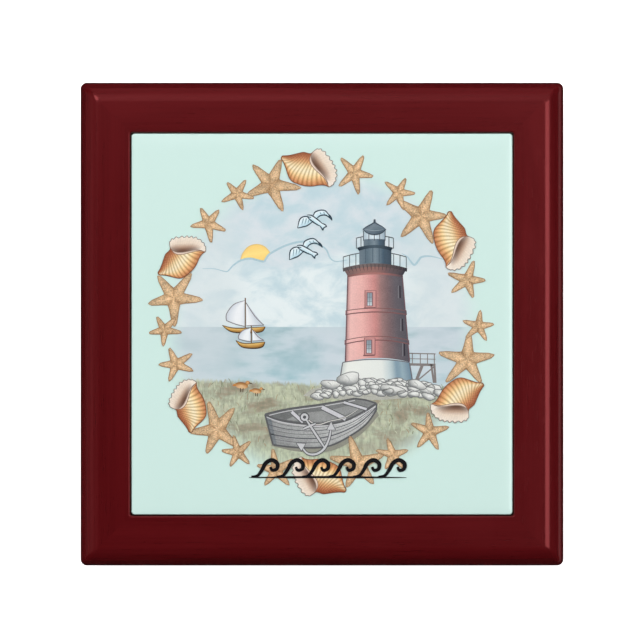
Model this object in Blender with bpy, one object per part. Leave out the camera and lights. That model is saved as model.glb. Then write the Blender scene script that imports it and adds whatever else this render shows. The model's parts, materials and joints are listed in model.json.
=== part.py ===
"""Square hinged keepsake box with a ceramic tile let into its lid.

The frame is +Z up with the origin at the middle of the face that the box stands on. The front is at -Y and the
hinges are at +Y. Every size is in metres.
"""

import math

import bmesh
import bpy
from mathutils import Matrix, Vector

# Clearances
TOUCH = 0.0003  # between two faces that are glued, seated or resting
SLIDE = 0.0001  # between a hinge pin and its knuckles

# Tile
TILE_SIDE = 0.10795
TILE_THICK = 0.005
TILE_CORNER = 0.0016
TILE_EDGE_RADIUS = 0.0009
TILE_SIDE_GAP = 0.00055
TILE_SUNK = 0.0003

# Adhesive pads under the tile
PAD_SIDE = 0.018
PAD_THICK = 0.0008
PAD_INSET = 0.012

# Lid
LID_HEIGHT = 0.017
LID_RAIL_WIDTH = 0.0144
LID_EDGE_RADIUS = 0.0057
LID_INNER_ARRIS = 0.0004
LID_FOOT_RADIUS = 0.001
LID_LEDGE = 0.004
LID_PANEL_THICK = 0.003
LID_LINING_THICK = 0.002

# Body
BODY_HEIGHT = 0.0386  # from the table to the rim of the walls
WALL_THICK = 0.009
WALL_ARRIS = 0.0005
LID_OVERHANG = 0.0035
RIM_GAP = 0.0004  # between the rim and the closed lid
CORNER_RADIUS = 0.0014

# Base board, plinth and felt
FELT_THICK = 0.001
FELT_MARGIN = 0.002
BOARD_THICK = 0.003
BOARD_REBATE = 0.004
PLINTH_HEIGHT = 0.0105
PLINTH_PROJECTION = 0.0032
PLINTH_EDGE_RADIUS = 0.0028
PLINTH_FOOT_RADIUS = 0.0008

# Lining of the compartment
LINING_THICK = 0.0014
LINING_DROP = 0.0025  # from the rim down to the lining's top edge
FLOOR_PAD_THICK = 0.0025
SOFT_EDGE = 0.0006

# Hinges
HINGE_SPAN = 0.068  # between the middles of the two hinges
HINGE_WIDTH = 0.018
LEAF_DEPTH = 0.0075  # from the pin's axis to the leaf's free edge
LEAF_THICK = 0.0008
LEAF_GAP = 0.0003  # between the two leaves when the lid is shut
BARREL_RADIUS = 0.0015
PIN_RADIUS = 0.0006
PIN_HEAD_RADIUS = 0.0011
PIN_HEAD_THICK = 0.0005
KNUCKLES = 5
KNUCKLE_GAP = 0.0003
BARREL_CLEARANCE = 0.0004
LID_STOP_ANGLE = math.radians(98)  # where the lid's overhang meets the back wall

# Hinge screws
SCREW_SPACING = 0.0105
SCREW_HEAD_RADIUS = 0.00135
SCREW_HEAD_DEPTH = 0.0006
SCREW_SHANK_RADIUS = 0.0006
SCREW_LENGTH = 0.0055
SCREW_POINT = 0.0012
SCREW_SINK = 0.00005
SCREW_SLOT_WIDTH = 0.0004
SCREW_SLOT_DEPTH = 0.0003
SCREW_CLEARANCE = 0.00015
PILOT_CLEARANCE = 0.0002

# Facets
EDGE_STEPS = 6
CORNER_STEPS = 3
ROUND_STEPS = 24

# Derived places
RECESS_HALF = TILE_SIDE / 2 + TILE_SIDE_GAP
LID_HALF = RECESS_HALF + LID_RAIL_WIDTH
BODY_HALF = LID_HALF - LID_OVERHANG
INNER_HALF = BODY_HALF - WALL_THICK
LID_BOTTOM = BODY_HEIGHT + RIM_GAP
LID_TOP = LID_BOTTOM + LID_HEIGHT
TILE_TOP = LID_TOP - TILE_SUNK
TILE_BOTTOM = TILE_TOP - TILE_THICK
PAD_BOTTOM = TILE_BOTTOM - TOUCH - PAD_THICK
PANEL_TOP = PAD_BOTTOM - TOUCH
PANEL_BOTTOM = PANEL_TOP - LID_PANEL_THICK
LEDGE_TOP = PANEL_BOTTOM - TOUCH
LEDGE_HALF = RECESS_HALF - LID_LEDGE
BODY_BOTTOM = FELT_THICK + TOUCH
BOARD_TOP = BODY_BOTTOM + BOARD_THICK
LINING_HALF = INNER_HALF - TOUCH
FLOOR_PAD_HALF = LINING_HALF - LINING_THICK - TOUCH
AXIS_Z = BODY_HEIGHT + RIM_GAP / 2
STOP_COS = -math.cos(LID_STOP_ANGLE)
AXIS_OUT = (LID_OVERHANG * STOP_COS - RIM_GAP / 2 * math.sin(LID_STOP_ANGLE)) / (1 + STOP_COS)
AXIS_Y = BODY_HALF + AXIS_OUT

SIDES = {"front": 0, "right": 90, "back": 180, "left": 270}


def clear_scene():
    for obj in list(bpy.data.objects):
        bpy.data.objects.remove(obj)


def finish(name, colour, roughness, metallic=0.0):
    """A Principled material."""
    made = bpy.data.materials.new(name)
    made.use_nodes = True
    shader = made.node_tree.nodes["Principled BSDF"]
    shader.inputs["Base Color"].default_value = (*colour, 1.0)
    shader.inputs["Roughness"].default_value = roughness
    shader.inputs["Metallic"].default_value = metallic
    return made


def mesh_of(name, bm, smooth_angle=35):
    """The mesh of bm, closed, facing out and shaded smooth but for its sharp edges."""
    bmesh.ops.remove_doubles(bm, verts=bm.verts, dist=1e-7)
    bmesh.ops.recalc_face_normals(bm, faces=bm.faces)
    mesh = bpy.data.meshes.new(name)
    bm.to_mesh(mesh)
    bm.free()
    mesh.shade_smooth()
    mesh.set_sharp_from_angle(angle=math.radians(smooth_angle))
    return mesh


def place(name, mesh, material, parent=None, location=(0, 0, 0), turn=0):
    """A node with this mesh, turned about Z by turn degrees."""
    obj = bpy.data.objects.new(name, mesh)
    if not mesh.materials:
        mesh.materials.append(material)
    bpy.context.scene.collection.objects.link(obj)
    obj.parent = parent
    obj.location = location
    obj.rotation_euler = (0, 0, math.radians(turn))
    return obj


def helper(name, bm, parent=None):
    """A solid that only shapes others."""
    obj = bpy.data.objects.new(name, mesh_of(name, bm))
    bpy.context.scene.collection.objects.link(obj)
    obj.parent = parent
    obj.hide_render = True
    obj.display_type = "WIRE"
    return obj


def shape_with(obj, operation, other):
    """A Boolean of obj with a helper."""
    modifier = obj.modifiers.new(other.name, "BOOLEAN")
    modifier.operation = operation
    modifier.solver = "EXACT"
    modifier.object = other
    return modifier


def arc(centre, radius, start, end, steps):
    """Points of an arc in a plane, with angles in degrees."""
    points = []
    for step in range(steps + 1):
        angle = math.radians(start + (end - start) * step / steps)
        points.append((centre[0] + radius * math.cos(angle), centre[1] + radius * math.sin(angle)))
    return points


def add_box(bm, low, high):
    """Adds a box between two corners and returns its vertices."""
    low, high = Vector(low), Vector(high)
    size = high - low
    matrix = Matrix.Translation((low + high) / 2) @ Matrix.Diagonal((*size, 1))
    return bmesh.ops.create_cube(bm, size=1, matrix=matrix)["verts"]


def add_rod(bm, radius, low, high, matrix=None, steps=ROUND_STEPS):
    """Adds a cylinder along local Z from low to high."""
    shift = Matrix.Translation((0, 0, (low + high) / 2))
    bmesh.ops.create_cone(
        bm,
        cap_ends=True,
        segments=steps,
        radius1=radius,
        radius2=radius,
        depth=high - low,
        matrix=(matrix or Matrix()) @ shift,
    )


def loft(rings):
    """A closed solid through rings of points, where points that coincide become one vertex."""
    bm = bmesh.new()
    known = {}

    def add_face(points):
        corners = []
        for point in points:
            key = tuple(round(value * 1e8) for value in point)
            if key not in known:
                known[key] = bm.verts.new(point)
            if known[key] not in corners:
                corners.append(known[key])
        if len(corners) > 2:
            bm.faces.new(corners)

    add_face(rings[0])
    add_face(rings[-1])
    for near, far in zip(rings, rings[1:]):
        for index, point in enumerate(near):
            add_face((near[index - 1], point, far[index], far[index - 1]))
    return bm


def mitred_side(profile, inner_half):
    """The front side of a mitred square frame, as a solid.

    profile holds (out, up) points, out from the frame's inner face at inner_half. The outer corners are rounded by
    CORNER_RADIUS, and each mitre stands off its neighbour by half a glue line.
    """
    outer = inner_half + max(out for out, _ in profile)
    core = outer - CORNER_RADIUS
    short = TOUCH / 2 * math.sqrt(2)
    corners = [(-1, 225, 270), (1, 270, 315)]
    rings = []
    for hand, start, end in corners:
        for step in range(CORNER_STEPS + 1):
            angle = math.radians(start + (end - start) * step / CORNER_STEPS)
            ring = []
            for out, up in profile:
                square = min(inner_half + out, core)
                rounded = inner_half + out - square
                x = hand * (square - short) + rounded * math.cos(angle)
                ring.append((x, -square + rounded * math.sin(angle), up))
            rings.append(ring)
    return loft(rings)


def rounded_slab(half, low, high, corner, edge_radius=0.0, both_edges=False):
    """A square slab with rounded corners in plan and softened edges on top, or on both faces."""
    bm = bmesh.new()
    add_box(bm, (-half, -half, low), (half, half, high))
    upright = [e for e in bm.edges if abs(e.verts[0].co.z - e.verts[1].co.z) > 1e-6]
    bmesh.ops.bevel(
        bm, geom=upright, offset=corner, segments=CORNER_STEPS + 1, profile=0.5, affect="EDGES", material=-1
    )
    if edge_radius:
        levels = (low, high) if both_edges else (high,)
        rim = []
        for edge in bm.edges:
            heights = [v.co.z for v in edge.verts]
            flat = abs(heights[0] - heights[1]) < 1e-7
            if flat and any(abs(heights[0] - level) < 1e-7 for level in levels):
                rim.append(edge)
        bmesh.ops.bevel(
            bm, geom=rim, offset=edge_radius, segments=3, profile=0.5, affect="EDGES", material=-1
        )
    return bm


def lid_profile():
    """Section of a lid rail: ledge for the panel, recess wall, flat top, rounded outside and softened foot."""
    width = LID_RAIL_WIDTH
    points = [(-LID_LEDGE, LID_BOTTOM), (-LID_LEDGE, LEDGE_TOP), (0, LEDGE_TOP)]
    points += arc((LID_INNER_ARRIS, LID_TOP - LID_INNER_ARRIS), LID_INNER_ARRIS, 180, 90, 2)
    edge_centre = (width - LID_EDGE_RADIUS, LID_TOP - LID_EDGE_RADIUS)
    points += arc(edge_centre, LID_EDGE_RADIUS, 90, 0, EDGE_STEPS)
    foot_centre = (width - LID_FOOT_RADIUS, LID_BOTTOM + LID_FOOT_RADIUS)
    points += arc(foot_centre, LID_FOOT_RADIUS, 0, -90, 2)
    return points


def wall_profile():
    """Section of a wall: softened rim, and a rebate for the base board at its inner foot."""
    rebate_top = BOARD_TOP + TOUCH
    points = [(BOARD_REBATE, BODY_BOTTOM), (BOARD_REBATE, rebate_top), (0, rebate_top)]
    points += arc((WALL_ARRIS, BODY_HEIGHT - WALL_ARRIS), WALL_ARRIS, 180, 90, 2)
    points += arc((WALL_THICK - WALL_ARRIS, BODY_HEIGHT - WALL_ARRIS), WALL_ARRIS, 90, 0, 2)
    points += [(WALL_THICK, BODY_BOTTOM)]
    return points


def plinth_profile():
    """Section of the plinth moulding, which wraps the foot of the walls."""
    top = BODY_BOTTOM + PLINTH_HEIGHT
    width = PLINTH_PROJECTION
    points = [(0, BODY_BOTTOM), (0, top)]
    points += arc((width - PLINTH_EDGE_RADIUS, top - PLINTH_EDGE_RADIUS), PLINTH_EDGE_RADIUS, 90, 0, EDGE_STEPS)
    foot_centre = (width - PLINTH_FOOT_RADIUS, BODY_BOTTOM + PLINTH_FOOT_RADIUS)
    points += arc(foot_centre, PLINTH_FOOT_RADIUS, 0, -90, 2)
    return points


def make_frame(prefix, profile, inner_half, material, parent):
    """Four mitred sides, one object each, returned by side name."""
    mesh = mesh_of(prefix, mitred_side(profile, inner_half))
    return {
        side: place(f"{prefix}_{side}", mesh, material, parent, turn=turn) for side, turn in SIDES.items()
    }


def make_tile(parent, glaze, foam):
    """The picture tile and the four adhesive pads under it."""
    slab = rounded_slab(TILE_SIDE / 2, TILE_BOTTOM, TILE_TOP, TILE_CORNER, TILE_EDGE_RADIUS)
    place("picture_tile", mesh_of("picture_tile", slab, 60), glaze, parent)
    centre = TILE_SIDE / 2 - PAD_INSET - PAD_SIDE / 2
    for number, (x, y) in enumerate(((-1, -1), (1, -1), (1, 1), (-1, 1)), start=1):
        pad = rounded_slab(PAD_SIDE / 2, PAD_BOTTOM, PAD_BOTTOM + PAD_THICK, SOFT_EDGE)
        name = f"tile_adhesive_pad_{number}"
        place(name, mesh_of(name, pad), foam, parent, location=(x * centre, y * centre, 0))


def make_lid_panel(parent, board, felt):
    """The board that carries the tile, and the lining stuck under it."""
    panel = bmesh.new()
    half = RECESS_HALF - TOUCH
    add_box(panel, (-half, -half, PANEL_BOTTOM), (half, half, PANEL_TOP))
    place("lid_panel", mesh_of("lid_panel", panel), board, parent)
    top = PANEL_BOTTOM - TOUCH
    lining = rounded_slab(LEDGE_HALF - TOUCH, top - LID_LINING_THICK, top, SOFT_EDGE, SOFT_EDGE, both_edges=True)
    place("lid_lining", mesh_of("lid_lining", lining), felt, parent)


def make_base(board, felt):
    """The base board and the felt under the box."""
    bm = bmesh.new()
    half = INNER_HALF + BOARD_REBATE - TOUCH
    add_box(bm, (-half, -half, BODY_BOTTOM), (half, half, BOARD_TOP))
    place("base_board", mesh_of("base_board", bm), board)
    half = BODY_HALF + PLINTH_PROJECTION - FELT_MARGIN
    sheet = rounded_slab(half, 0, FELT_THICK, CORNER_RADIUS)
    place("underside_felt", mesh_of("underside_felt", sheet), felt)


def make_lining(felt):
    """Felt-covered boards on the four walls, and the pad on the floor between them."""
    low = BOARD_TOP + TOUCH
    high = BODY_HEIGHT - LINING_DROP
    spans = {"front": LINING_HALF, "back": LINING_HALF}
    for side, turn in SIDES.items():
        half = spans.get(side, LINING_HALF - LINING_THICK - TOUCH)
        bm = bmesh.new()
        add_box(bm, (-half, -LINING_HALF, low), (half, -LINING_HALF + LINING_THICK, high))
        name = f"wall_lining_{side}"
        place(name, mesh_of(name, bm), felt, turn=turn)
    pad = rounded_slab(FLOOR_PAD_HALF, low, low + FLOOR_PAD_THICK, SOFT_EDGE, SOFT_EDGE)
    place("floor_pad", mesh_of("floor_pad", pad), felt)


def knuckle_spans(first):
    """(start, end) along the pin of every other knuckle, from the first or the second."""
    pitch = HINGE_WIDTH / KNUCKLES
    return [
        (-HINGE_WIDTH / 2 + n * pitch + KNUCKLE_GAP / 2, -HINGE_WIDTH / 2 + (n + 1) * pitch - KNUCKLE_GAP / 2)
        for n in range(first, KNUCKLES, 2)
    ]


def knuckle_section():
    """Section of a knuckle and the web that joins it to a leaf lying under the pin's axis, as (y, z) points."""
    near = -LEAF_GAP / 2
    far = near - LEAF_THICK
    start = 180 + math.degrees(math.asin(-far / BARREL_RADIUS))
    end = 540 + math.degrees(math.asin(-near / BARREL_RADIUS))
    points = arc((0, 0), BARREL_RADIUS, start, end, ROUND_STEPS)
    web_edge = -(BARREL_RADIUS + BARREL_CLEARANCE) - LEAF_THICK
    return points + [(web_edge, near), (web_edge, far)]


def screw_places():
    """Where the two screws of a leaf stand, from the middle of the pin."""
    return [(side * SCREW_SPACING / 2, -(LEAF_DEPTH + BARREL_RADIUS) / 2) for side in (-1, 1)]


def turned_solid(outline, places):
    """A closed turned solid about local Z at each place, from (radius, height) points."""
    bm = bmesh.new()
    for x, y, z in places:
        chain = [bm.verts.new((x + radius, y, z + height)) for radius, height in outline]
        edges = [bm.edges.new(pair) for pair in zip(chain, chain[1:])]
        bmesh.ops.spin(
            bm,
            geom=chain + edges,
            cent=(x, y, z),
            axis=(0, 0, 1),
            angle=2 * math.pi,
            steps=ROUND_STEPS * 2 // 3,
            use_merge=True,
        )
    return bm


def screw_outline(grow=0.0, over=0.0):
    """Outline of a countersunk screw, top to point, grown all round by grow and upwards by over."""
    slope = (SCREW_HEAD_RADIUS - SCREW_SHANK_RADIUS) / SCREW_HEAD_DEPTH
    return [
        (0, over),
        (SCREW_HEAD_RADIUS + grow + slope * over, over),
        (SCREW_SHANK_RADIUS + grow, -SCREW_HEAD_DEPTH),
        (SCREW_SHANK_RADIUS + grow, -SCREW_LENGTH + SCREW_POINT - grow),
        (0, -SCREW_LENGTH - grow),
    ]


def make_leaf(name, frame, lying, first, brass, parent):
    """One hinge leaf. lying is -1 for the leaf under the axis, on the wall, and 1 for the one over it, on the lid."""
    turn = Matrix.Diagonal((1, 1, -lying, 1))
    near, far = -LEAF_GAP / 2, -LEAF_GAP / 2 - LEAF_THICK
    plate = bmesh.new()
    half = HINGE_WIDTH / 2
    add_box(plate, (-half, -LEAF_DEPTH, far), (half, -(BARREL_RADIUS + BARREL_CLEARANCE), near))
    plate.transform(turn)
    leaf = place(name, mesh_of(name, plate), brass, parent, location=frame)

    section = knuckle_section()
    knuckles = bmesh.new()
    for start, end in knuckle_spans(first):
        piece = loft([[(x, y, z) for y, z in section] for x in (start, end)])
        spare = bpy.data.meshes.new("spare")
        piece.to_mesh(spare)
        piece.free()
        knuckles.from_mesh(spare)
        bpy.data.meshes.remove(spare)
    knuckles.transform(turn)
    shape_with(leaf, "UNION", helper(f"{name}_knuckles", knuckles, parent)).object.location = frame

    bore = bmesh.new()
    add_rod(bore, PIN_RADIUS + SLIDE, -half, half, Matrix.Rotation(math.pi / 2, 4, "Y"))
    bmesh.ops.scale(bore, vec=(1.2, 1, 1), verts=bore.verts)
    shape_with(leaf, "DIFFERENCE", helper(f"{name}_bore", bore, parent)).object.location = frame

    holes = turned_solid(
        screw_outline(SCREW_CLEARANCE, SCREW_CLEARANCE), [(x, y, near) for x, y in screw_places()]
    )
    holes.transform(turn)
    shape_with(leaf, "DIFFERENCE", helper(f"{name}_holes", holes, parent)).object.location = frame
    return leaf


def make_screws(prefix, frame, lying, brass, parent):
    """The two countersunk screws of a leaf, with their heads towards the pin's plane."""
    for number, (x, y) in enumerate(screw_places(), start=1):
        bm = turned_solid(screw_outline(), [(0, 0, 0)])
        if lying > 0:
            bm.transform(Matrix.Rotation(math.pi, 4, "X"))
        name = f"{prefix}_screw_{number}"
        head = lying * (LEAF_GAP / 2 + SCREW_SINK)
        place_at = Vector(frame) + Vector((x, y, head))
        screw = place(name, mesh_of(name, bm), brass, parent, location=place_at)
        slot = bmesh.new()
        deep = SCREW_SLOT_DEPTH
        long, wide = SCREW_HEAD_RADIUS * 1.5, SCREW_SLOT_WIDTH / 2
        add_box(slot, (-long, -wide, -deep), (long, wide, deep))
        slot.transform(Matrix.Rotation(math.radians(25 + 40 * number), 4, "Z"))
        shape_with(screw, "DIFFERENCE", helper(f"{name}_slot", slot, parent)).object.location = place_at


def mortise(hinge_x, name):
    """Helpers that sink a hinge into the wall and the lid rail: leaf pocket, room for the barrel, pilot holes."""
    frame = (hinge_x, AXIS_Y, AXIS_Z)
    half = HINGE_WIDTH / 2 + TOUCH
    deep = LEAF_GAP / 2 + LEAF_THICK + TOUCH
    pocket = bmesh.new()
    add_box(pocket, (-half, -LEAF_DEPTH - TOUCH, -deep), (half, 0, deep))
    room = bmesh.new()
    end = half + PIN_HEAD_THICK + BARREL_CLEARANCE
    add_rod(room, BARREL_RADIUS + BARREL_CLEARANCE, -end, end, Matrix.Rotation(math.pi / 2, 4, "Y"))
    pilots = bmesh.new()
    reach = SCREW_LENGTH + LEAF_GAP
    for x, y in screw_places():
        add_rod(pilots, SCREW_SHANK_RADIUS + PILOT_CLEARANCE, -reach, reach, Matrix.Translation((x, y, 0)))
    made = []
    for kind, bm in (("pocket", pocket), ("barrel_room", room), ("pilots", pilots)):
        cutter = helper(f"{name}_{kind}", bm)
        cutter.location = frame
        made.append(cutter)
    return made


def make_pin(name, frame, brass):
    """A hinge pin with a domed head at each end, along X."""
    half = HINGE_WIDTH / 2 + TOUCH
    outline = [(0, half + PIN_HEAD_THICK)]
    outline += [(PIN_HEAD_RADIUS * 0.7, half + PIN_HEAD_THICK)]
    outline += [(PIN_HEAD_RADIUS, half + PIN_HEAD_THICK * 0.4), (PIN_HEAD_RADIUS, half), (PIN_RADIUS, half)]
    outline += [(radius, -height) for radius, height in reversed(outline)]
    bm = turned_solid(outline, [(0, 0, 0)])
    bm.transform(Matrix.Rotation(math.pi / 2, 4, "Y"))
    place(name, mesh_of(name, bm), brass, location=frame)


def make_hinge(name, hinge_x, wall, rail, lid, brass):
    """A mortised butt hinge between the back wall and the lid's back rail."""
    frame = (hinge_x, AXIS_Y, AXIS_Z)
    on_lid = tuple(Vector(frame) - lid.location)
    for cutter in mortise(hinge_x, name):
        shape_with(wall, "DIFFERENCE", cutter)
        shape_with(rail, "DIFFERENCE", cutter)
    make_leaf(f"{name}_body_leaf", frame, -1, 0, brass, None)
    make_leaf(f"{name}_lid_leaf", on_lid, 1, 1, brass, lid)
    make_screws(f"{name}_body", frame, -1, brass, None)
    make_screws(f"{name}_lid", on_lid, 1, brass, lid)
    make_pin(f"{name}_pin", frame, brass)


def main():
    clear_scene()
    lacquer = finish("red_lacquer", (0.105, 0.008, 0.010), 0.25)
    board = finish("board", (0.32, 0.19, 0.10), 0.7)
    glaze = finish("glaze", (0.63, 0.83, 0.77), 0.12)
    foam = finish("adhesive_foam", (0.75, 0.75, 0.72), 0.8)
    felt = finish("black_felt", (0.012, 0.012, 0.013), 0.95)
    brass = finish("brass", (0.72, 0.50, 0.20), 0.3, 1.0)

    lid = bpy.data.objects.new("lid_hinge_axis", None)
    bpy.context.scene.collection.objects.link(lid)
    lid.location = (0, AXIS_Y, AXIS_Z)
    bpy.context.view_layer.update()

    walls = make_frame("wall", wall_profile(), INNER_HALF, lacquer, None)
    make_frame("plinth", plinth_profile(), BODY_HALF + TOUCH, lacquer, None)
    make_base(board, felt)
    make_lining(felt)

    rails = make_frame("lid_rail", lid_profile(), RECESS_HALF, lacquer, lid)
    make_tile(lid, glaze, foam)
    make_lid_panel(lid, board, felt)
    for obj in lid.children:
        obj.location = obj.location - lid.location

    for side, hand in (("left", -1), ("right", 1)):
        make_hinge(f"hinge_{side}", hand * HINGE_SPAN / 2, walls["back"], rails["back"], lid, brass)


main()
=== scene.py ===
"""A red-lacquered keepsake box with a printed ceramic tile in its lid, dressed around its CAD frame.

Sizes are in metres. The box stands on z = 0, its front is at -Y and its lid is hinged at +Y. The picture on the tile
is drawn in units of half the tile's side, u to the right and v towards the hinges.
"""

import json
import math
import random

import bmesh
import bpy
from mathutils import Matrix, Vector

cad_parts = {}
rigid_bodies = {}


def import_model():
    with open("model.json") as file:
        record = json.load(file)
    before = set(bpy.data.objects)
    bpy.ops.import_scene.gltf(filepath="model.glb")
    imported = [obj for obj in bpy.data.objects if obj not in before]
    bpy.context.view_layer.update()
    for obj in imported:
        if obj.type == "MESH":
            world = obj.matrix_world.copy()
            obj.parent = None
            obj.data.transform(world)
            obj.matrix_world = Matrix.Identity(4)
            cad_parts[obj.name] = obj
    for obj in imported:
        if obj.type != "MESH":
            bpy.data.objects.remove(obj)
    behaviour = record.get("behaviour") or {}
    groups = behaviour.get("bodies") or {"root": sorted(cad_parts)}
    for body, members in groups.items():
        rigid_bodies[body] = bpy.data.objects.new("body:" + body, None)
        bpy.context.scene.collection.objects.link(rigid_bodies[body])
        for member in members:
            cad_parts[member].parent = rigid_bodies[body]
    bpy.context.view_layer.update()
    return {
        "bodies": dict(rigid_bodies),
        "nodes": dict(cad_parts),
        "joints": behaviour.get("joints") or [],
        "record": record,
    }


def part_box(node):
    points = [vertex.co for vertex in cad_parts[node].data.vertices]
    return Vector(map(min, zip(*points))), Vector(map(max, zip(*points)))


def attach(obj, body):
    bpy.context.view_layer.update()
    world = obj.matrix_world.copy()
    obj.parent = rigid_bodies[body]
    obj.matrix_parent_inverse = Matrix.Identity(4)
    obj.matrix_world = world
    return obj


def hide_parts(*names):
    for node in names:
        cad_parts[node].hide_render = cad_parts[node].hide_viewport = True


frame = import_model()
nodes = frame["nodes"]

LOW, HIGH = 0, 1
SIDES = {"front": 0, "right": 90, "back": 180, "left": 270}
FIT = 0.0003  # room round a part that drops into another

# Places read from the frame
tile_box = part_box("picture_tile")
rail_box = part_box("lid_rail_front")
wall_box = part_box("wall_front")
plinth_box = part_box("plinth_front")
panel_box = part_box("lid_panel")
TILE_HALF = tile_box[HIGH].x
TILE_TOP = tile_box[HIGH].z
LID_HALF = -rail_box[LOW].y
LID_BOTTOM, LID_TOP = rail_box[LOW].z, rail_box[HIGH].z
LEDGE_HALF = -rail_box[HIGH].y
LEDGE_TOP = panel_box[LOW].z - FIT
RECESS_HALF = panel_box[HIGH].x + FIT
WALL_OUT, WALL_IN = -wall_box[LOW].y, -wall_box[HIGH].y
WALL_FOOT, WALL_RIM = wall_box[LOW].z, wall_box[HIGH].z
PLINTH_OUT = -plinth_box[LOW].y
PLINTH_TOP = plinth_box[HIGH].z
BOARD_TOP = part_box("base_board")[HIGH].z
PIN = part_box("hinge_left_pin")
AXIS_Y = (PIN[LOW].y + PIN[HIGH].y) / 2
AXIS_Z = (PIN[LOW].z + PIN[HIGH].z) / 2

# Joinery
MITRE_GAP = 0.000002
CORNER_RADIUS = 0.0014
LID_CORNER_RADIUS = 0.0018
LID_EDGE = 0.0057
PLINTH_EDGE = 0.0028
HINGE_POCKET = 0.00125  # above and below the pins' axis
POCKET_RUN = 0.004  # how far a pocket runs out past the pins' axis
BARREL_ROOM = 0.0019
WELD = 2e-7  # points closer than this are one point


# ---------------------------------------------------------------- shaders


def rgb(red, green, blue, alpha=1.0):
    """Screen colour, 0 to 255, as the linear colour that shaders take."""
    linear = [((c / 255 + 0.055) / 1.055) ** 2.4 if c > 10 else c / 255 / 12.92 for c in (red, green, blue)]
    return (*linear, alpha)


class Shade:
    """Adds shader nodes to one tree. An input is a socket to link or a plain value."""

    def __init__(self, tree):
        self.tree = tree

    def feed(self, socket, value):
        if isinstance(value, bpy.types.NodeSocket):
            self.tree.links.new(value, socket)
        else:
            socket.default_value = value

    def node(self, kind, inputs=None, **settings):
        made = self.tree.nodes.new(kind)
        for key, value in settings.items():
            setattr(made, key, value)
        for key, value in (inputs or {}).items():
            self.feed(made.inputs[key], value)
        return made

    def math(self, operation, first, second=0.0, third=0.0, clamp=False):
        made = self.node("ShaderNodeMath", {0: first, 1: second, 2: third}, operation=operation, use_clamp=clamp)
        return made.outputs[0]

    def mix(self, factor, first, second, blend="MIX"):
        made = self.node("ShaderNodeMix", {0: factor, 6: first, 7: second}, data_type="RGBA", blend_type=blend)
        return made.outputs[2]

    def step(self, value, low, high, start=0.0, end=1.0):
        """A smooth rise from start to end as value goes from low to high."""
        made = self.node(
            "ShaderNodeMapRange",
            {"Value": value, "From Min": low, "From Max": high, "To Min": start, "To Max": end},
            interpolation_type="SMOOTHSTEP",
        )
        return made.outputs[0]

    def coords(self, scale=(1, 1, 1), turn=0.0, move=(0, 0, 0)):
        """Object coordinates, turned about Z, then scaled."""
        base = self.node("ShaderNodeTexCoord").outputs["Object"]
        turned = self.node("ShaderNodeMapping", {"Vector": base, "Rotation": (0, 0, turn), "Location": move})
        return self.stretch(turned.outputs[0], scale)

    def stretch(self, vector, scale):
        made = self.node("ShaderNodeVectorMath", {0: vector, 1: scale}, operation="MULTIPLY")
        return made.outputs[0]

    def noise(self, vector, scale=1.0, detail=4.0, rough=0.55, warp=0.0):
        """Fractal noise, stretched where the scale has three numbers."""
        if isinstance(scale, tuple):
            vector, scale = self.stretch(vector, scale), 1.0
        inputs = {"Vector": vector, "Scale": scale, "Detail": detail, "Roughness": rough, "Distortion": warp}
        return self.node("ShaderNodeTexNoise", inputs).outputs[0]

    def ramp(self, value, stops):
        """Colour stops of (place, colour)."""
        made = self.node("ShaderNodeValToRGB", {"Fac": value})
        elements = made.color_ramp.elements
        for element, stop in zip(elements, (stops[0], stops[-1])):
            element.position, element.color = stop
        for place, colour in stops[1:-1]:
            elements.new(place).color = colour
        return made.outputs[0]

    def bump(self, height, depth, strength=1.0):
        made = self.node("ShaderNodeBump", {"Height": height, "Distance": depth, "Strength": strength})
        return made.outputs[0]

    def group(self, tree, **inputs):
        return self.node("ShaderNodeGroup", inputs, node_tree=tree).outputs

    def surface(self, colour, roughness, normal=None):
        """Feeds what changes over a material's surface."""
        for label, value in (("Base Color", colour), ("Roughness", roughness), ("Normal", normal)):
            if value is not None:
                self.feed(self.shader.inputs[label], value)


def new_group(name, inputs, outputs):
    """An empty shader group with named sockets, and its Shade, its inputs and its output node."""
    tree = bpy.data.node_groups.new(name, "ShaderNodeTree")
    kinds = {"vector": "NodeSocketVector", "float": "NodeSocketFloat", "color": "NodeSocketColor"}
    for way, sockets in (("INPUT", inputs), ("OUTPUT", outputs)):
        for label, kind in sockets.items():
            tree.interface.new_socket(label, in_out=way, socket_type=kinds[kind])
    given = tree.nodes.new("NodeGroupInput").outputs
    return tree, Shade(tree), given, tree.nodes.new("NodeGroupOutput").inputs


def new_material(name, values=None):
    """A material with one Principled shader, and its Shade."""
    made = bpy.data.materials.new(name)
    made.use_nodes = True
    shade = Shade(made.node_tree)
    shade.shader = made.node_tree.nodes["Principled BSDF"]
    for label, value in (values or {}).items():
        shade.shader.inputs[label].default_value = value
    return made, shade


def wood_grain_group():
    """Straight-grained wood along X: its colour and the height of its pores."""
    inputs = {"Vector": "vector", "Light": "color", "Dark": "color", "Pore": "float"}
    tree, s, given, out = new_group("wood_grain", inputs, {"Color": "color", "Height": "float"})
    figure = s.noise(given["Vector"], (9, 70, 70), 3, 0.5, 0.6)
    streaks = s.noise(given["Vector"], (22, 900, 900), 6, 0.65)
    pores = s.noise(given["Vector"], (160, 4200, 4200), 2, 0.5)
    tone = s.math("ADD", s.math("MULTIPLY", figure, 0.55), s.math("MULTIPLY", streaks, 0.45))
    wood = s.mix(s.step(tone, 0.34, 0.66), given["Dark"], given["Light"])
    dark = s.math("MULTIPLY", s.step(pores, 0.60, 0.72), given["Pore"])
    s.feed(out["Color"], s.mix(dark, wood, s.mix(0.6, wood, (0, 0, 0, 1))))
    s.feed(out["Height"], s.math("SUBTRACT", s.math("MULTIPLY", streaks, 0.4), dark))
    return tree


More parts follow.
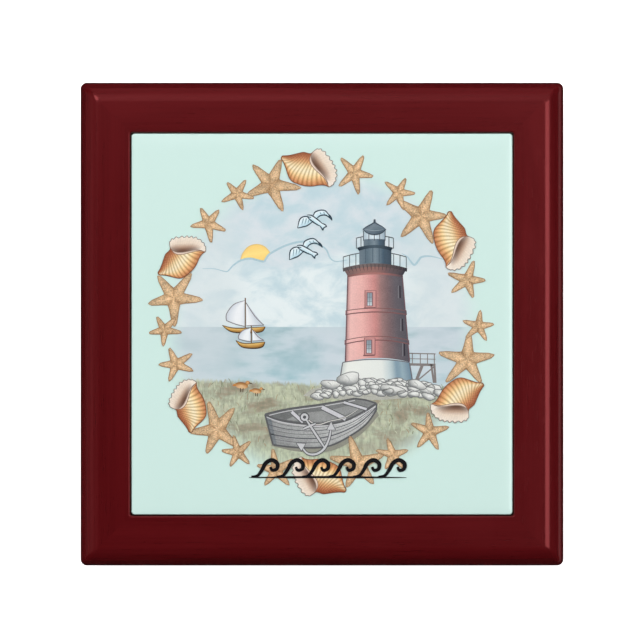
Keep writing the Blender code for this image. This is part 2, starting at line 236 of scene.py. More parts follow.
def wear_group():
    """Handling marks: fine smudges and dust that change the roughness."""
    inputs = {"Vector": "vector", "Amount": "float", "Roughness": "float"}
    tree, s, given, out = new_group("handling_marks", inputs, {"Roughness": "float"})
    smudge = s.noise(given["Vector"], (38, 38, 38), 5, 0.6, 0.8)
    specks = s.noise(given["Vector"], (1900, 1900, 1900), 1)
    marks = s.math("MULTIPLY_ADD", s.step(specks, 0.68, 0.78), 0.5, s.step(smudge, 0.45, 0.75))
    s.feed(out["Roughness"], s.math("MULTIPLY_ADD", marks, given["Amount"], given["Roughness"]))
    return tree


def felt_group():
    """Pressed fibres: mottled colour and a matted height."""
    inputs = {"Vector": "vector", "Light": "color", "Dark": "color"}
    tree, s, given, out = new_group("felt_fibres", inputs, {"Color": "color", "Height": "float"})
    long_way = s.noise(given["Vector"], (900, 5200, 3000), 3, warp=1.5)
    cross_way = s.noise(given["Vector"], (5200, 900, 3000), 3, warp=1.5)
    clumps = s.noise(given["Vector"], (160, 160, 160))
    fibres = s.math("MULTIPLY", s.math("MAXIMUM", long_way, cross_way), 0.7)
    tone = s.math("MULTIPLY_ADD", clumps, 0.3, fibres)
    s.feed(out["Color"], s.mix(s.step(tone, 0.38, 0.68), given["Dark"], given["Light"]))
    s.feed(out["Height"], tone)
    return tree


WOOD_GRAIN = wood_grain_group()
HANDLING_MARKS = wear_group()
FELT_FIBRES = felt_group()
GLAZE = {"Roughness": 0.2, "Coat Weight": 1.0, "Coat Roughness": 0.03}
LACQUER = {
    "Coat Weight": 0.25,
    "Coat Roughness": 0.2,
    "IOR": 1.7,
    "Specular IOR Level": 1.0,
    "Specular Tint": rgb(255, 112, 116),
}


def lacquered_wood(name, turn):
    """Deep red lacquer over grain that runs along X, turned about Z."""
    made, s = new_material(name, LACQUER)
    grain = s.group(WOOD_GRAIN, Vector=s.coords(turn=turn), Light=rgb(89, 15, 19), Dark=rgb(77, 9, 13), Pore=0.3)
    marks = s.group(HANDLING_MARKS, Vector=s.coords(), Amount=0.05, Roughness=0.17)
    s.surface(grain["Color"], marks["Roughness"], s.bump(grain["Height"], 0.00002, 0.5))
    return made


def raw_board(name):
    """Bare hardboard."""
    made, s = new_material(name)
    grain = s.group(WOOD_GRAIN, Vector=s.coords(), Light=rgb(172, 134, 94), Dark=rgb(128, 92, 60), Pore=0.8)
    flecks = s.noise(s.coords((700, 700, 700)), detail=5)
    colour = s.mix(s.step(flecks, 0.35, 0.7, 0, 0.4), grain["Color"], rgb(96, 68, 44))
    s.surface(colour, s.step(flecks, 0.3, 0.7, 0.7, 0.85), s.bump(grain["Height"], 0.0001))
    return made


def black_felt(name):
    """Short black felt with a faint sheen."""
    sheen = {"Sheen Weight": 0.35, "Sheen Roughness": 0.5, "Sheen Tint": rgb(150, 150, 155)}
    made, s = new_material(name, sheen)
    fibres = s.group(FELT_FIBRES, Vector=s.coords(), Light=rgb(38, 37, 39), Dark=rgb(14, 14, 15))
    roughness = s.step(fibres["Height"], 0.3, 0.7, 0.88, 1.0)
    s.surface(fibres["Color"], roughness, s.bump(fibres["Height"], 0.0002, 0.8))
    return made


def brass(name):
    """Rolled brass with fine drawing lines and a little tarnish."""
    made, s = new_material(name, {"Metallic": 0.6})
    lines = s.noise(s.coords((300, 9000, 9000)), detail=3)
    tarnish = s.step(s.noise(s.coords((420, 420, 420)), detail=6), 0.48, 0.72)
    roughness = s.math("MULTIPLY_ADD", lines, 0.12, s.step(tarnish, 0, 1, 0.2, 0.38))
    s.surface(s.mix(tarnish, rgb(226, 190, 118), rgb(188, 146, 84)), roughness, s.bump(lines, 0.00001, 0.6))
    return made


def foam(name):
    """Open-celled adhesive foam, with painted shade in the pits of its cells."""
    made, s = new_material(name)
    cells = s.node("ShaderNodeTexVoronoi", {"Vector": s.coords((2600, 2600, 2600))}).outputs["Distance"]
    # Painted shade: each cell is darkest at its pit, where the bump sinks, and lightest at its rim.
    colour = s.mix(cells, rgb(168, 166, 158), rgb(226, 224, 214))
    s.surface(colour, s.step(cells, 0, 1, 0.75, 0.95), s.bump(cells, 0.0002))
    return made


# ---------------------------------------------------------------- solids


def meshed(name, bm):
    """A finished bmesh as a mesh."""
    mesh = bpy.data.meshes.new(name)
    bm.to_mesh(mesh)
    bm.free()
    return mesh


def placed(name, data):
    """A new object in the scene."""
    made = bpy.data.objects.new(name, data)
    bpy.context.scene.collection.objects.link(made)
    return made


def arc(centre, radius, start, end, steps):
    """Points of an arc in a plane, with angles in degrees."""
    angles = [math.radians(start + (end - start) * step / steps) for step in range(steps + 1)]
    return [(centre[0] + radius * math.cos(a), centre[1] + radius * math.sin(a)) for a in angles]


def saw(bm, point, normal):
    """Cuts away what lies beyond a plane and closes the cut."""
    everything = bm.verts[:] + bm.edges[:] + bm.faces[:]
    cut = bmesh.ops.bisect_plane(bm, geom=everything, plane_co=point, plane_no=normal, clear_outer=True, dist=1e-7)
    edges = [item for item in cut["geom_cut"] if isinstance(item, bmesh.types.BMEdge)]
    if edges:
        bmesh.ops.contextual_create(bm, geom=edges)


def turned(bm, degrees):
    """A shape turned about Z."""
    matrix = Matrix.Rotation(math.radians(degrees), 3, "Z")
    bmesh.ops.rotate(bm, cent=(0, 0, 0), matrix=matrix, verts=bm.verts)
    return bm


def piece(name, bm, material, body, stands_for):
    """Makes a finished mesh piece that rides on a body and stands for a CAD node."""
    bmesh.ops.remove_doubles(bm, verts=bm.verts, dist=WELD)
    bmesh.ops.recalc_face_normals(bm, faces=bm.faces)
    mesh = meshed(name, bm)
    mesh.shade_smooth()
    mesh.set_sharp_from_angle(angle=math.radians(40))
    mesh.materials.append(material)
    obj = placed(name, mesh)
    obj.modifiers.new("even_shading", "WEIGHTED_NORMAL").keep_sharp = True
    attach(obj, body)
    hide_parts(stands_for)
    return obj


def eased(section, start, inner, outer):
    """Adds to each (out, up) point its corner radius in plan: inner up to start, growing to outer at the rim."""
    width = max(out for out, _ in section)
    return [(out, up, inner + (outer - inner) * max(0.0, (out - start) / (width - start))) for out, up in section]


def skinned(bm, rings):
    """Joins rings of points one after another, and gives back the edges of each ring."""
    loops = []
    for ring in rings:
        verts = [bm.verts.new(point) for point in ring]
        loops.append([bm.edges.new((verts[i - 1], verts[i])) for i in range(len(verts))])
    for first, second in zip(loops, loops[1:]):
        bmesh.ops.bridge_loops(bm, edges=first + second)
    return loops


def mitred_side(section, inner_half):
    """The front side of a mitred frame: a moulding of (out, up, corner radius) points, swept from one mitre round the
    near half of a corner, along the side and round to the other mitre."""
    rings = []
    for hand, degrees in [(-1, 45 - step * 7.5) for step in range(7)] + [(1, step * 7.5) for step in range(7)]:
        ring = []
        for out, up, radius in section:
            reach = inner_half + out - radius
            angle = math.radians(degrees)
            x = hand * (reach + radius * math.sin(angle))
            ring.append((x, -reach - radius * math.cos(angle), up))
        rings.append(ring)
    bm = bmesh.new()
    skinned(bm, rings)
    bmesh.ops.remove_doubles(bm, verts=bm.verts, dist=WELD)
    stand_off = MITRE_GAP / 2 * math.sqrt(0.5)
    for hand in (-1, 1):
        saw(bm, (-hand * stand_off, -stand_off, 0), (hand, 1, 0))
    return bm


def stacked(rings):
    """A solid through rounded squares of (half side, corner radius, height), from the bottom up."""
    outlines = []
    for half, radius, height in rings:
        corner = arc((half - radius, half - radius), radius, 0, 90, 6)
        outlines.append([(*spun(point, 90 * quarter), height) for quarter in range(4) for point in corner])
    bm = bmesh.new()
    loops = skinned(bm, outlines)
    for cap in (loops[0], loops[-1]):
        bmesh.ops.contextual_create(bm, geom=cap)
    return bm


def lid_section():
    """A lid rail: a ledge under the tile's recess, a large round-over outside and a small one below."""
    width = LID_HALF - RECESS_HALF
    ledge = RECESS_HALF - LEDGE_HALF
    brim, foot = 0.0005, 0.001
    points = [(-ledge, LID_BOTTOM), (-ledge, LEDGE_TOP), (0, LEDGE_TOP)]
    points += arc((brim, LID_TOP - brim), brim, 180, 90, 5)
    points += arc((width - LID_EDGE, LID_TOP - LID_EDGE), LID_EDGE, 90, 0, 16)
    points += arc((width - foot, LID_BOTTOM + foot), foot, 0, -90, 5)
    return eased(points, width - LID_EDGE, 0.0008, LID_CORNER_RADIUS)


def wall_section():
    """A wall, rebated at its foot for the base board."""
    thick, rim = WALL_OUT - WALL_IN, 0.0006
    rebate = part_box("base_board")[HIGH].x + FIT - WALL_IN
    top = BOARD_TOP + FIT
    points = [(rebate, WALL_FOOT), (rebate, top), (0, top)]
    points += arc((rim, WALL_RIM - rim), rim, 180, 90, 4)
    points += arc((thick - rim, WALL_RIM - rim), rim, 90, 0, 4)
    points += [(thick, WALL_FOOT)]
    return eased(points, rim, 0.0002, CORNER_RADIUS)


def plinth_section():
    """A plinth moulding, rounded over on top."""
    width, foot = PLINTH_OUT - WALL_OUT - FIT, 0.0008
    points = [(0, WALL_FOOT), (0, PLINTH_TOP)]
    points += arc((width - PLINTH_EDGE, PLINTH_TOP - PLINTH_EDGE), PLINTH_EDGE, 90, 0, 10)
    points += arc((width - foot, WALL_FOOT + foot), foot, 0, -90, 4)
    return eased(points, 0.0, CORNER_RADIUS, 0.0022)


def carved(bm, cutters):
    """What is left of a shape when the cutters are taken out of it."""
    blocks = [placed("block", meshed("block", shape)) for shape in (bm, *cutters)]
    for tool in blocks[1:]:
        cut = blocks[0].modifiers.new("cut", "BOOLEAN")
        cut.operation, cut.solver, cut.object = "DIFFERENCE", "EXACT", tool
    cut_mesh = bpy.data.meshes.new_from_object(blocks[0].evaluated_get(bpy.context.evaluated_depsgraph_get()))
    result = bmesh.new()
    result.from_mesh(cut_mesh)
    for obj in blocks:
        bpy.data.meshes.remove(obj.data)
    bpy.data.meshes.remove(cut_mesh)
    return result


def hinge_rooms():
    """What each hinge needs cut from the back wall and the back rail: a leaf pocket and room for the barrel."""
    rooms = []
    for hand in ("left", "right"):
        low_leaf, high_leaf, pin = (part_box(f"hinge_{hand}_{part}") for part in ("body_leaf", "lid_leaf", "pin"))
        middle = (pin[LOW].x + pin[HIGH].x) / 2
        half = (low_leaf[HIGH].x - low_leaf[LOW].x) / 2 + FIT
        near = min(low_leaf[LOW].y, high_leaf[LOW].y) - FIT
        far = AXIS_Y + POCKET_RUN
        size = Matrix.Diagonal((2 * half, far - near, 2 * HINGE_POCKET, 1))
        pocket = bmesh.new()
        bmesh.ops.create_cube(pocket, size=1, matrix=Matrix.Translation((middle, (far + near) / 2, AXIS_Z)) @ size)
        barrel = bmesh.new()
        matrix = Matrix.Translation((middle, AXIS_Y, AXIS_Z)) @ Matrix.Rotation(math.pi / 2, 4, "Y")
        long = pin[HIGH].x - pin[LOW].x + 0.0008
        round_room = {"radius1": BARREL_ROOM, "radius2": BARREL_ROOM, "depth": long, "segments": 32}
        bmesh.ops.create_cone(barrel, cap_ends=True, matrix=matrix, **round_room)
        rooms += [pocket, barrel]
    return rooms


def rounded(bm, edges, radius, segments):
    """Rounds some edges of a shape."""
    bmesh.ops.bevel(bm, geom=edges, offset=radius, segments=segments, profile=0.5, affect="EDGES", material=-1)


def soft_slab(half_x, half_y, low, high, corner, edge, both=False):
    """A slab with rounded corners in plan and rounded edges on top, or on both faces."""
    bm = bmesh.new()
    size = Matrix.Diagonal((2 * half_x, 2 * half_y, high - low, 1))
    bmesh.ops.create_cube(bm, size=1, matrix=Matrix.Translation((0, 0, (low + high) / 2)) @ size)
    upright = [e for e in bm.edges if abs(e.verts[0].co.z - e.verts[1].co.z) > 1e-6]
    rounded(bm, upright, corner, 8)
    levels = (low, high) if both else (high,)
    rim = [e for e in bm.edges if any(all(abs(v.co.z - z) < 1e-6 for v in e.verts) for z in levels)]
    rounded(bm, rim, edge, 6)
    return bm


LACQUER_X = lacquered_wood("lacquer_grain_across", 0.0)
LACQUER_Y = lacquered_wood("lacquer_grain_along", math.pi / 2)
RAW_BOARD = raw_board("hardboard")
FELT = black_felt("black_felt")
BRASS = brass("rolled_brass")
FOAM = foam("adhesive_foam")


def make_woodwork():
    """Lid rails, walls and plinth, four mitred sides each."""
    kinds = (
        ("lid_rail", lid_section(), RECESS_HALF, "lid"),
        ("wall", wall_section(), WALL_IN, "case"),
        ("plinth", plinth_section(), WALL_OUT + FIT, "case"),
    )
    for name, section, inner_half, body in kinds:
        for side, turn in SIDES.items():
            bm = turned(mitred_side(section, inner_half), turn)
            if side == "back" and name != "plinth":
                bm = carved(bm, hinge_rooms())
            material = LACQUER_X if side in ("front", "back") else LACQUER_Y
            piece(f"{name}_{side}_lacquered", bm, material, body, f"{name}_{side}")


def make_tile():
    """The glazed tile: a clay biscuit with a softly domed, painted face."""
    edge, dome, corner = 0.0004, 0.00012, 0.0009
    low, brim = tile_box[LOW].z, TILE_TOP - dome
    full = TILE_HALF + 0.00022
    rings = [(TILE_HALF - 0.0003, 0.0008, low), (TILE_HALF, corner, low + 0.0003), (full, corner, low + 0.0012)]
    rings += [(full - edge + x, corner, z) for x, z in arc((0, brim - edge), edge, 0, 80, 6)]
    for inset in (0.001, 0.0016, 0.0024, 0.0032, 0.0042):
        rings.append((TILE_HALF - inset, corner, TILE_TOP - dome * (1 - inset / 0.0042) ** 2))
    made, s = new_material("picture_glaze", GLAZE)
    flow = s.noise(s.coords((260, 260, 260)), detail=2)
    height = s.node("ShaderNodeSeparateXYZ", {0: s.coords()}).outputs[2]
    clay = s.mix(s.noise(s.coords((900, 900, 900))), rgb(226, 220, 208), rgb(206, 198, 184))
    colour = s.mix(s.step(height, TILE_TOP - 0.0016, TILE_TOP - 0.0010), clay, picture_ground(s))
    s.surface(colour, s.math("MULTIPLY_ADD", flow, 0.06, 0.16), s.bump(flow, 0.000004, 0.5))
    piece("glazed_tile", stacked(rings), made, "lid", "picture_tile")


def make_felt():
    """Linings, floor pad and the felt under the box."""
    low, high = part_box("floor_pad")
    bm = soft_slab(high.x, high.y, low.z, high.z, 0.002, 0.0011)
    piece("floor_pad_felt", bm, FELT, "case", "floor_pad")
    low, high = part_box("wall_lining_front")
    for side, turn in SIDES.items():
        half = high.x if side in ("front", "back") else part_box("wall_lining_right")[HIGH].y
        bm = soft_slab(half, (high.y - low.y) / 2, low.z, high.z, 0.0005, 0.0005)
        bmesh.ops.translate(bm, verts=bm.verts, vec=(0, (low.y + high.y) / 2, 0))
        name = f"wall_lining_{side}"
        piece(f"{name}_felt", turned(bm, turn), FELT, "case", name)
    low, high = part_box("lid_lining")
    bm = soft_slab(high.x, high.y, low.z, high.z, 0.002, 0.0008, both=True)
    piece("lid_lining_felt", bm, FELT, "lid", "lid_lining")
    low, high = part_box("underside_felt")
    bm = soft_slab(high.x, high.y, low.z, high.z, 0.003, 0.0003, both=True)
    sole = piece("underside_felt_sheet", bm, FELT, "case", "underside_felt")


def dress_cad_nodes():
    """Finishes for the CAD pieces that are shown as they are."""
    for name, obj in nodes.items():
        if obj.hide_render:
            continue
        finish = BRASS if name.startswith("hinge") else FOAM if "pad" in name else RAW_BOARD
        obj.data.materials.clear()
        obj.data.materials.append(finish)


# ---------------------------------------------------------------- the printed picture

INK = "Ink"  # the printed colour of a point, with the strength of its grain as alpha
PRINT_STEP = 0.000008  # height of one printed layer over the next
PRINT_ROOT = 0.00001  # how far a print reaches into the glaze

MINT = rgb(209, 236, 229)
PENCIL = rgb(112, 112, 118, 0.1)
DARK_PENCIL = rgb(74, 80, 86, 0.1)
BROWN_PENCIL = rgb(126, 88, 88, 0.15)


def stops(*rows):
    """Colour stops from rows of a place, red, green, blue and, where it isn't full, grain."""
    return [(place, rgb(*colour)) for place, *colour in rows]


def tones(grain, *colours):
    """Colour stops at even places from 0 to 1. A colour of four numbers brings its own grain."""
    last = len(colours) - 1
    return [(index / last, rgb(*(*colour, grain)[:4])) for index, colour in enumerate(colours)]


def blended(colours, place):
    """The colour at a place between 0 and 1 along colour stops."""
    for (low, first), (high, second) in zip(colours, colours[1:]):
        if place <= high:
            share = (place - low) / (high - low)
            return tuple(a + (b - a) * share for a, b in zip(first, second))
    return colours[-1][1]


def across(colours):
    """A tint that changes from left to right only."""
    return lambda s, t: blended(colours, s)


def lit(colour, share):
    """A colour made lighter or darker by a share, with its grain kept."""
    return (*(min(1.0, c * share) for c in colour[:3]), colour[3])


def spun(point, degrees, centre=(0, 0)):
    """A point turned about the middle, then moved to a centre."""
    angle = math.radians(degrees)
    x, y = point
    turned_x = x * math.cos(angle) - y * math.sin(angle)
    turned_y = x * math.sin(angle) + y * math.cos(angle)
    return Vector((centre[0] + turned_x, centre[1] + turned_y))


def scaled(points, size, turn=0, centre=(0, 0)):
    """The points of a motif at its size, turned, in its place."""
    return [spun((x * size, y * size), turn, centre) for x, y in points]


def smooth_path(points, steps=5, closed=False):
    """A smooth line through points. With steps of 1 it keeps straight runs between them."""
    points = [Vector(point) for point in points]
    count = len(points)
    path = []
    for index in range(count if closed else count - 1):
        near = [index + shift for shift in (-1, 0, 1, 2)]
        a, b, c, d = (points[place % count if closed else min(max(place, 0), count - 1)] for place in near)
        for step in range(steps):
            x = step / steps
            cubic = (2 * a - 5 * b + 4 * c - d) * x**2 + (3 * b - a - 3 * c + d) * x**3
            path.append(0.5 * (2 * b + (c - a) * x + cubic))
    path.append(points[0] if closed else points[-1])
    return path


def along(path, share):
    """The point at a share of a line's points."""
    place = share * (len(path) - 1)
    index = min(int(place), len(path) - 2)
    return path[index].lerp(path[index + 1], place - index)


def facet(corners):
    """place(s, t) over four corners: two along the bottom, then two along the top."""
    low_left, low_right, top_left, top_right = (Vector(corner) for corner in corners)
    return lambda s, t: low_left.lerp(low_right, s).lerp(top_left.lerp(top_right, s), t)


def pane(u, v, wide, tall):
    """place(s, t) over an upright oblong of half sizes wide and tall."""
    return facet([(u + a * wide, v + b * tall) for b in (-1, 1) for a in (-1, 1)])


class Sheet:
    """Printed shapes, gathered into one piece that rides on the lid. A tint is one colour, colour stops that run from
    t = 0 to 1, or tint(s, t). Each later shape lies a hair above the one before, and a level lifts it further."""

    def __init__(self, name, level):
        self.name, self.level, self.count = name, level, 0
        self.bm = bmesh.new()
        self.bm.verts.layers.float_color.new(INK)

    def swatch(self, columns, rows, place, tint, level=0):
        """Adds one thin solid. place(s, t) gives the picture point for s and t from 0 to 1."""
        bm = bmesh.new()
        ink = bm.verts.layers.float_color.new(INK)
        bmesh.ops.create_grid(bm, x_segments=columns, y_segments=rows, size=0.5)
        for vertex in bm.verts:
            s, t = vertex.co.x + 0.5, vertex.co.y + 0.5
            u, v = place(s, t)
            vertex.co = (u * TILE_HALF, v * TILE_HALF, TILE_TOP - PRINT_ROOT)
            colour = blended(tint, t) if isinstance(tint, list) else tint
            vertex[ink] = tint(s, t) if callable(tint) else colour
        bmesh.ops.remove_doubles(bm, verts=bm.verts, dist=1e-6)
        made = bmesh.ops.extrude_face_region(bm, geom=bm.faces[:])["geom"]
        raised = [item for item in made if isinstance(item, bmesh.types.BMVert)]
        self.count += 1
        height = PRINT_ROOT + PRINT_STEP * (self.level + level + self.count % 5 / 5)
        bmesh.ops.translate(bm, verts=raised, vec=(0, 0, height))
        bmesh.ops.recalc_face_normals(bm, faces=bm.faces)
        spare = meshed("spare", bm)
        self.bm.from_mesh(spare)
        bpy.data.meshes.remove(spare)

    def between(self, first, second, tint, level=0, rows=4):
        """Fills the space between two lines of points."""
        first, second = smooth_path(first), smooth_path(second)
        columns = max(len(first), len(second)) - 1
        self.swatch(columns, rows, lambda s, t: along(first, s).lerp(along(second, s), t), tint, level)

    def blob(self, centre, radii, tint, level=0, turn=0.0, wobble=None, columns=28, rows=4):
        """A filled oval, with t from its middle to its rim. wobble(s) scales its radius round the rim."""

        def place(s, t):
            angle = 2 * math.pi * s
            reach = t * (wobble(s) if wobble else 1.0)
            return spun((radii[0] * math.cos(angle) * reach, radii[1] * math.sin(angle) * reach), turn, centre)

        self.swatch(columns, rows, place, tint, level)
        return [place(step / columns, 1) for step in range(columns)]

    def stroke(self, points, width, colour, level=1, taper=(1.0, 1.0), closed=False, steps=None):
        """A line of ink through points, whose width tapers towards either end."""
        path = smooth_path(points, steps or (2 if len(points) == 2 else 5), closed)
        last = len(path) - 1

        def place(s, t):
            index = round(s * last)
            if closed:
                ahead, behind = path[(index + 1) % last], path[(index - 1) % last]
            else:
                ahead, behind = path[min(index + 1, last)], path[max(index - 1, 0)]
            way = (ahead - behind).normalized()
            start, end = (low + (1 - low) * min(1, far) for low, far in zip(taper, (3 * s, 3 - 3 * s)))
            return path[index] + Vector((-way.y, way.x)) * width * start * end * (t - 0.5)

        self.swatch(last, 1, place, colour, level)

    def finish(self):
        """Makes the sheet a piece that rides on the lid."""
        mesh = meshed(self.name, self.bm)
        mesh.shade_flat()
        mesh.materials.append(PRINTED_GLAZE)
        obj = placed(self.name, mesh)
        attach(obj, "lid")


def print_material():
    """Printed colour under the glaze: the ink of each point, with a stippled grain."""
    made, s = new_material("printed_glaze", GLAZE)
    ink = s.node("ShaderNodeAttribute", attribute_name=INK)
    stipple = s.noise(s.coords((2600, 2600, 2600)), detail=4, rough=0.7)
    wash = s.noise(s.coords((420, 420, 420)), detail=3)
    grain = s.math("MULTIPLY_ADD", s.math("SUBTRACT", wash, 0.5), 0.4, s.math("SUBTRACT", stipple, 0.5))
    tone = s.math("MULTIPLY_ADD", s.math("MULTIPLY", grain, ink.outputs["Alpha"]), 2.6, 1.0)
    s.surface(s.mix(1.0, ink.outputs["Color"], tone, "MULTIPLY"), s.step(stipple, 0.3, 0.7, 0.18, 0.26))
    return made


def picture_ground(s):
    """The painted ground: mint at the edge, fading in a ring to sky, sea and dunes."""
    flat = s.coords((1 / TILE_HALF, 1 / TILE_HALF, 0))
    u, v, _ = s.node("ShaderNodeSeparateXYZ", {0: flat}).outputs
    radius = s.node("ShaderNodeVectorMath", {0: flat}, operation="LENGTH").outputs["Value"]
    broad = s.noise(flat, 2.6, 5, 0.55, 0.3)
    puffs = s.noise(s.stretch(flat, (1, 1.5, 1)), 5.0, 5, 0.6, 0.4)
    fine = s.noise(flat, 34, 4, 0.6)
    paper = s.noise(flat, 130, 3, 0.6)

    sky = s.mix(s.step(puffs, 0.34, 0.66), rgb(203, 222, 228), rgb(224, 231, 235))
    bank = s.mix(s.step(puffs, 0.34, 0.60), rgb(205, 223, 229), rgb(234, 242, 243))
    line = s.math("MULTIPLY_ADD", s.math("SINE", s.math("MULTIPLY", u, 7.5)), 0.05, 0.34)
    air = s.mix(s.step(s.math("SUBTRACT", v, line), -0.05, 0.03), bank, sky)
    air = s.mix(s.step(s.math("ABSOLUTE", u), 0.32, 0.56, 0, 0.7), air, rgb(221, 230, 232))

    swell = s.noise(s.stretch(flat, (1.6, 5, 1)), 2.2, 4, 0.5)
    deep = s.mix(s.step(v, -0.34, -0.03), rgb(176, 205, 212), rgb(174, 199, 205))
    sea = s.mix(s.step(swell, 0.36, 0.58, 0, 0.85), deep, rgb(212, 223, 228))
    sea = s.mix(s.step(broad, 0.44, 0.64, 0, 0.6), sea, rgb(216, 223, 229))
    sea = s.mix(s.step(s.math("SUBTRACT", 0, u), 0.30, 0.55, 0, 0.7), sea, rgb(211, 221, 225))
    view = s.mix(s.step(v, -0.018, -0.012), sea, air)

    blades = s.noise(flat, (60, 17, 1), 4, 0.6, 0.8)
    patches = s.noise(s.stretch(flat, (1, 2.4, 1)), 4.2, 5, 0.62, 0.5)
    greens = ((0.30, 138, 145, 123), (0.40, 177, 165, 143), (0.49, 192, 196, 173))
    greens += ((0.57, 209, 214, 192), (0.68, 200, 196, 177))
    low_grass = s.mix(s.step(v, -0.80, -0.50), rgb(208, 217, 196), s.ramp(patches, stops(*greens)))
    grass = s.mix(s.step(blades, 0.36, 0.60, 0.38, 0.0), low_grass, rgb(140, 144, 124))
    slope = s.math("MULTIPLY_ADD", u, -0.035, -0.318)
    crest = s.math("MULTIPLY_ADD", s.math("SUBTRACT", blades, 0.5), 0.06, slope)
    view = s.mix(s.step(s.math("SUBTRACT", v, crest), -0.012, 0.012), grass, view)

    brushed = s.mix(s.step(fine, 0.3, 0.7), rgb(120, 120, 120), rgb(136, 136, 136))
    view = s.mix(0.5, view, s.mix(0.55, view, brushed, "OVERLAY"))
    ring = s.math("MULTIPLY_ADD", s.math("SUBTRACT", broad, 0.5), 0.10, radius)
    ground = s.mix(s.step(paper, 0.3, 0.7, 0.0, 0.05), MINT, rgb(196, 226, 216))
    return s.mix(s.step(ring, 0.70, 0.86), view, ground)


STAR_ARMS = ((-6.5, 1.05), (65, 0.94), (133, 0.93), (207, 0.965), (292.5, 1.0))  # degrees and length of each arm
STAR_SKIN = tones(1.0, (218, 186, 148, 0.9), (208, 174, 134), (186, 150, 112))


def starfish(sheet, centre, size, turn, rng, level=0):
    """A starfish with five blunt, slightly uneven arms."""
    arms = [(angle + rng.uniform(-4, 4), length * rng.uniform(0.95, 1.05)) for angle, length in STAR_ARMS]

    def off(s, arm):
        return abs((360 * s - arm + 180) % 360 - 180)

    def rim(s):
        reach = 0.0
        for arm, length in arms:
            aside = off(s, arm)
            thick = 0.125 + 0.085 * min(1, aside / 38)
            beside = math.sin(math.radians(min(90, aside))) * length / thick
            reach = max(reach, length / (1 + beside**2.4) ** (1 / 2.4))
        return reach

    def tint(s, t):
        side = min(off(s, arm) for arm, _ in arms) / 34
        return lit(blended(STAR_SKIN, min(1, side * (1.3 - 0.5 * t))), 1.05 - 0.32 * t**4)

    edge = sheet.blob(centre, (size, size), tint, level, turn, rim, columns=120, rows=4)
    sheet.stroke(edge[::2], 0.0035, rgb(160, 122, 86, 0.4), level + 1, closed=True, steps=1)


# A shell with its spire to the left and its mouth to the right: the two edges of its body, then those of its mouth.
SHELL_BELOW = [(-1.03, 0.30), (-0.94, 0.12), (-0.84, -0.20), (-0.72, -0.43), (-0.49, -0.55), (-0.20, -0.63)]
SHELL_BELOW += [(0.10, -0.64), (0.45, -0.59), (0.66, -0.66)]
SHELL_ABOVE = [(-1.03, 0.48), (-0.80, 0.49), (-0.49, 0.56), (-0.27, 0.61), (-0.12, 0.58), (0.0, 0.56), (0.09, 0.61)]
SHELL_INNER = [(0.08, 0.61), (-0.02, 0.39), (0.01, 0.18), (0.17, -0.03), (0.40, -0.24), (0.58, -0.44)]
SHELL_INNER += [(0.68, -0.68)]
SHELL_OUTER = [(0.08, 0.61), (0.27, 0.74), (0.49, 0.65), (0.71, 0.39), (0.86, 0.15), (0.96, -0.10), (0.94, -0.40)]
SHELL_OUTER += [(0.82, -0.60), (0.68, -0.68)]
SHELL_RIBS = 13
SHELL_LIP = 0.14  # share of the mouth that the rolled lip takes
SHELL_SKIN = tones(
    0.3, (184, 116, 82), (228, 172, 118, 0.25), (250, 222, 168, 0.2), (252, 240, 208, 0.15),
    (248, 228, 184, 0.2), (228, 178, 128, 0.25), (196, 128, 92), (162, 96, 68),
)
SHELL_THROAT = stops(
    (0, 92, 66, 54, 0.1), (0.2, 134, 102, 84, 0.1), (0.38, 196, 166, 144, 0.15), (0.58, 232, 214, 194, 0.15),
    (1, 240, 228, 214, 0.15),
)


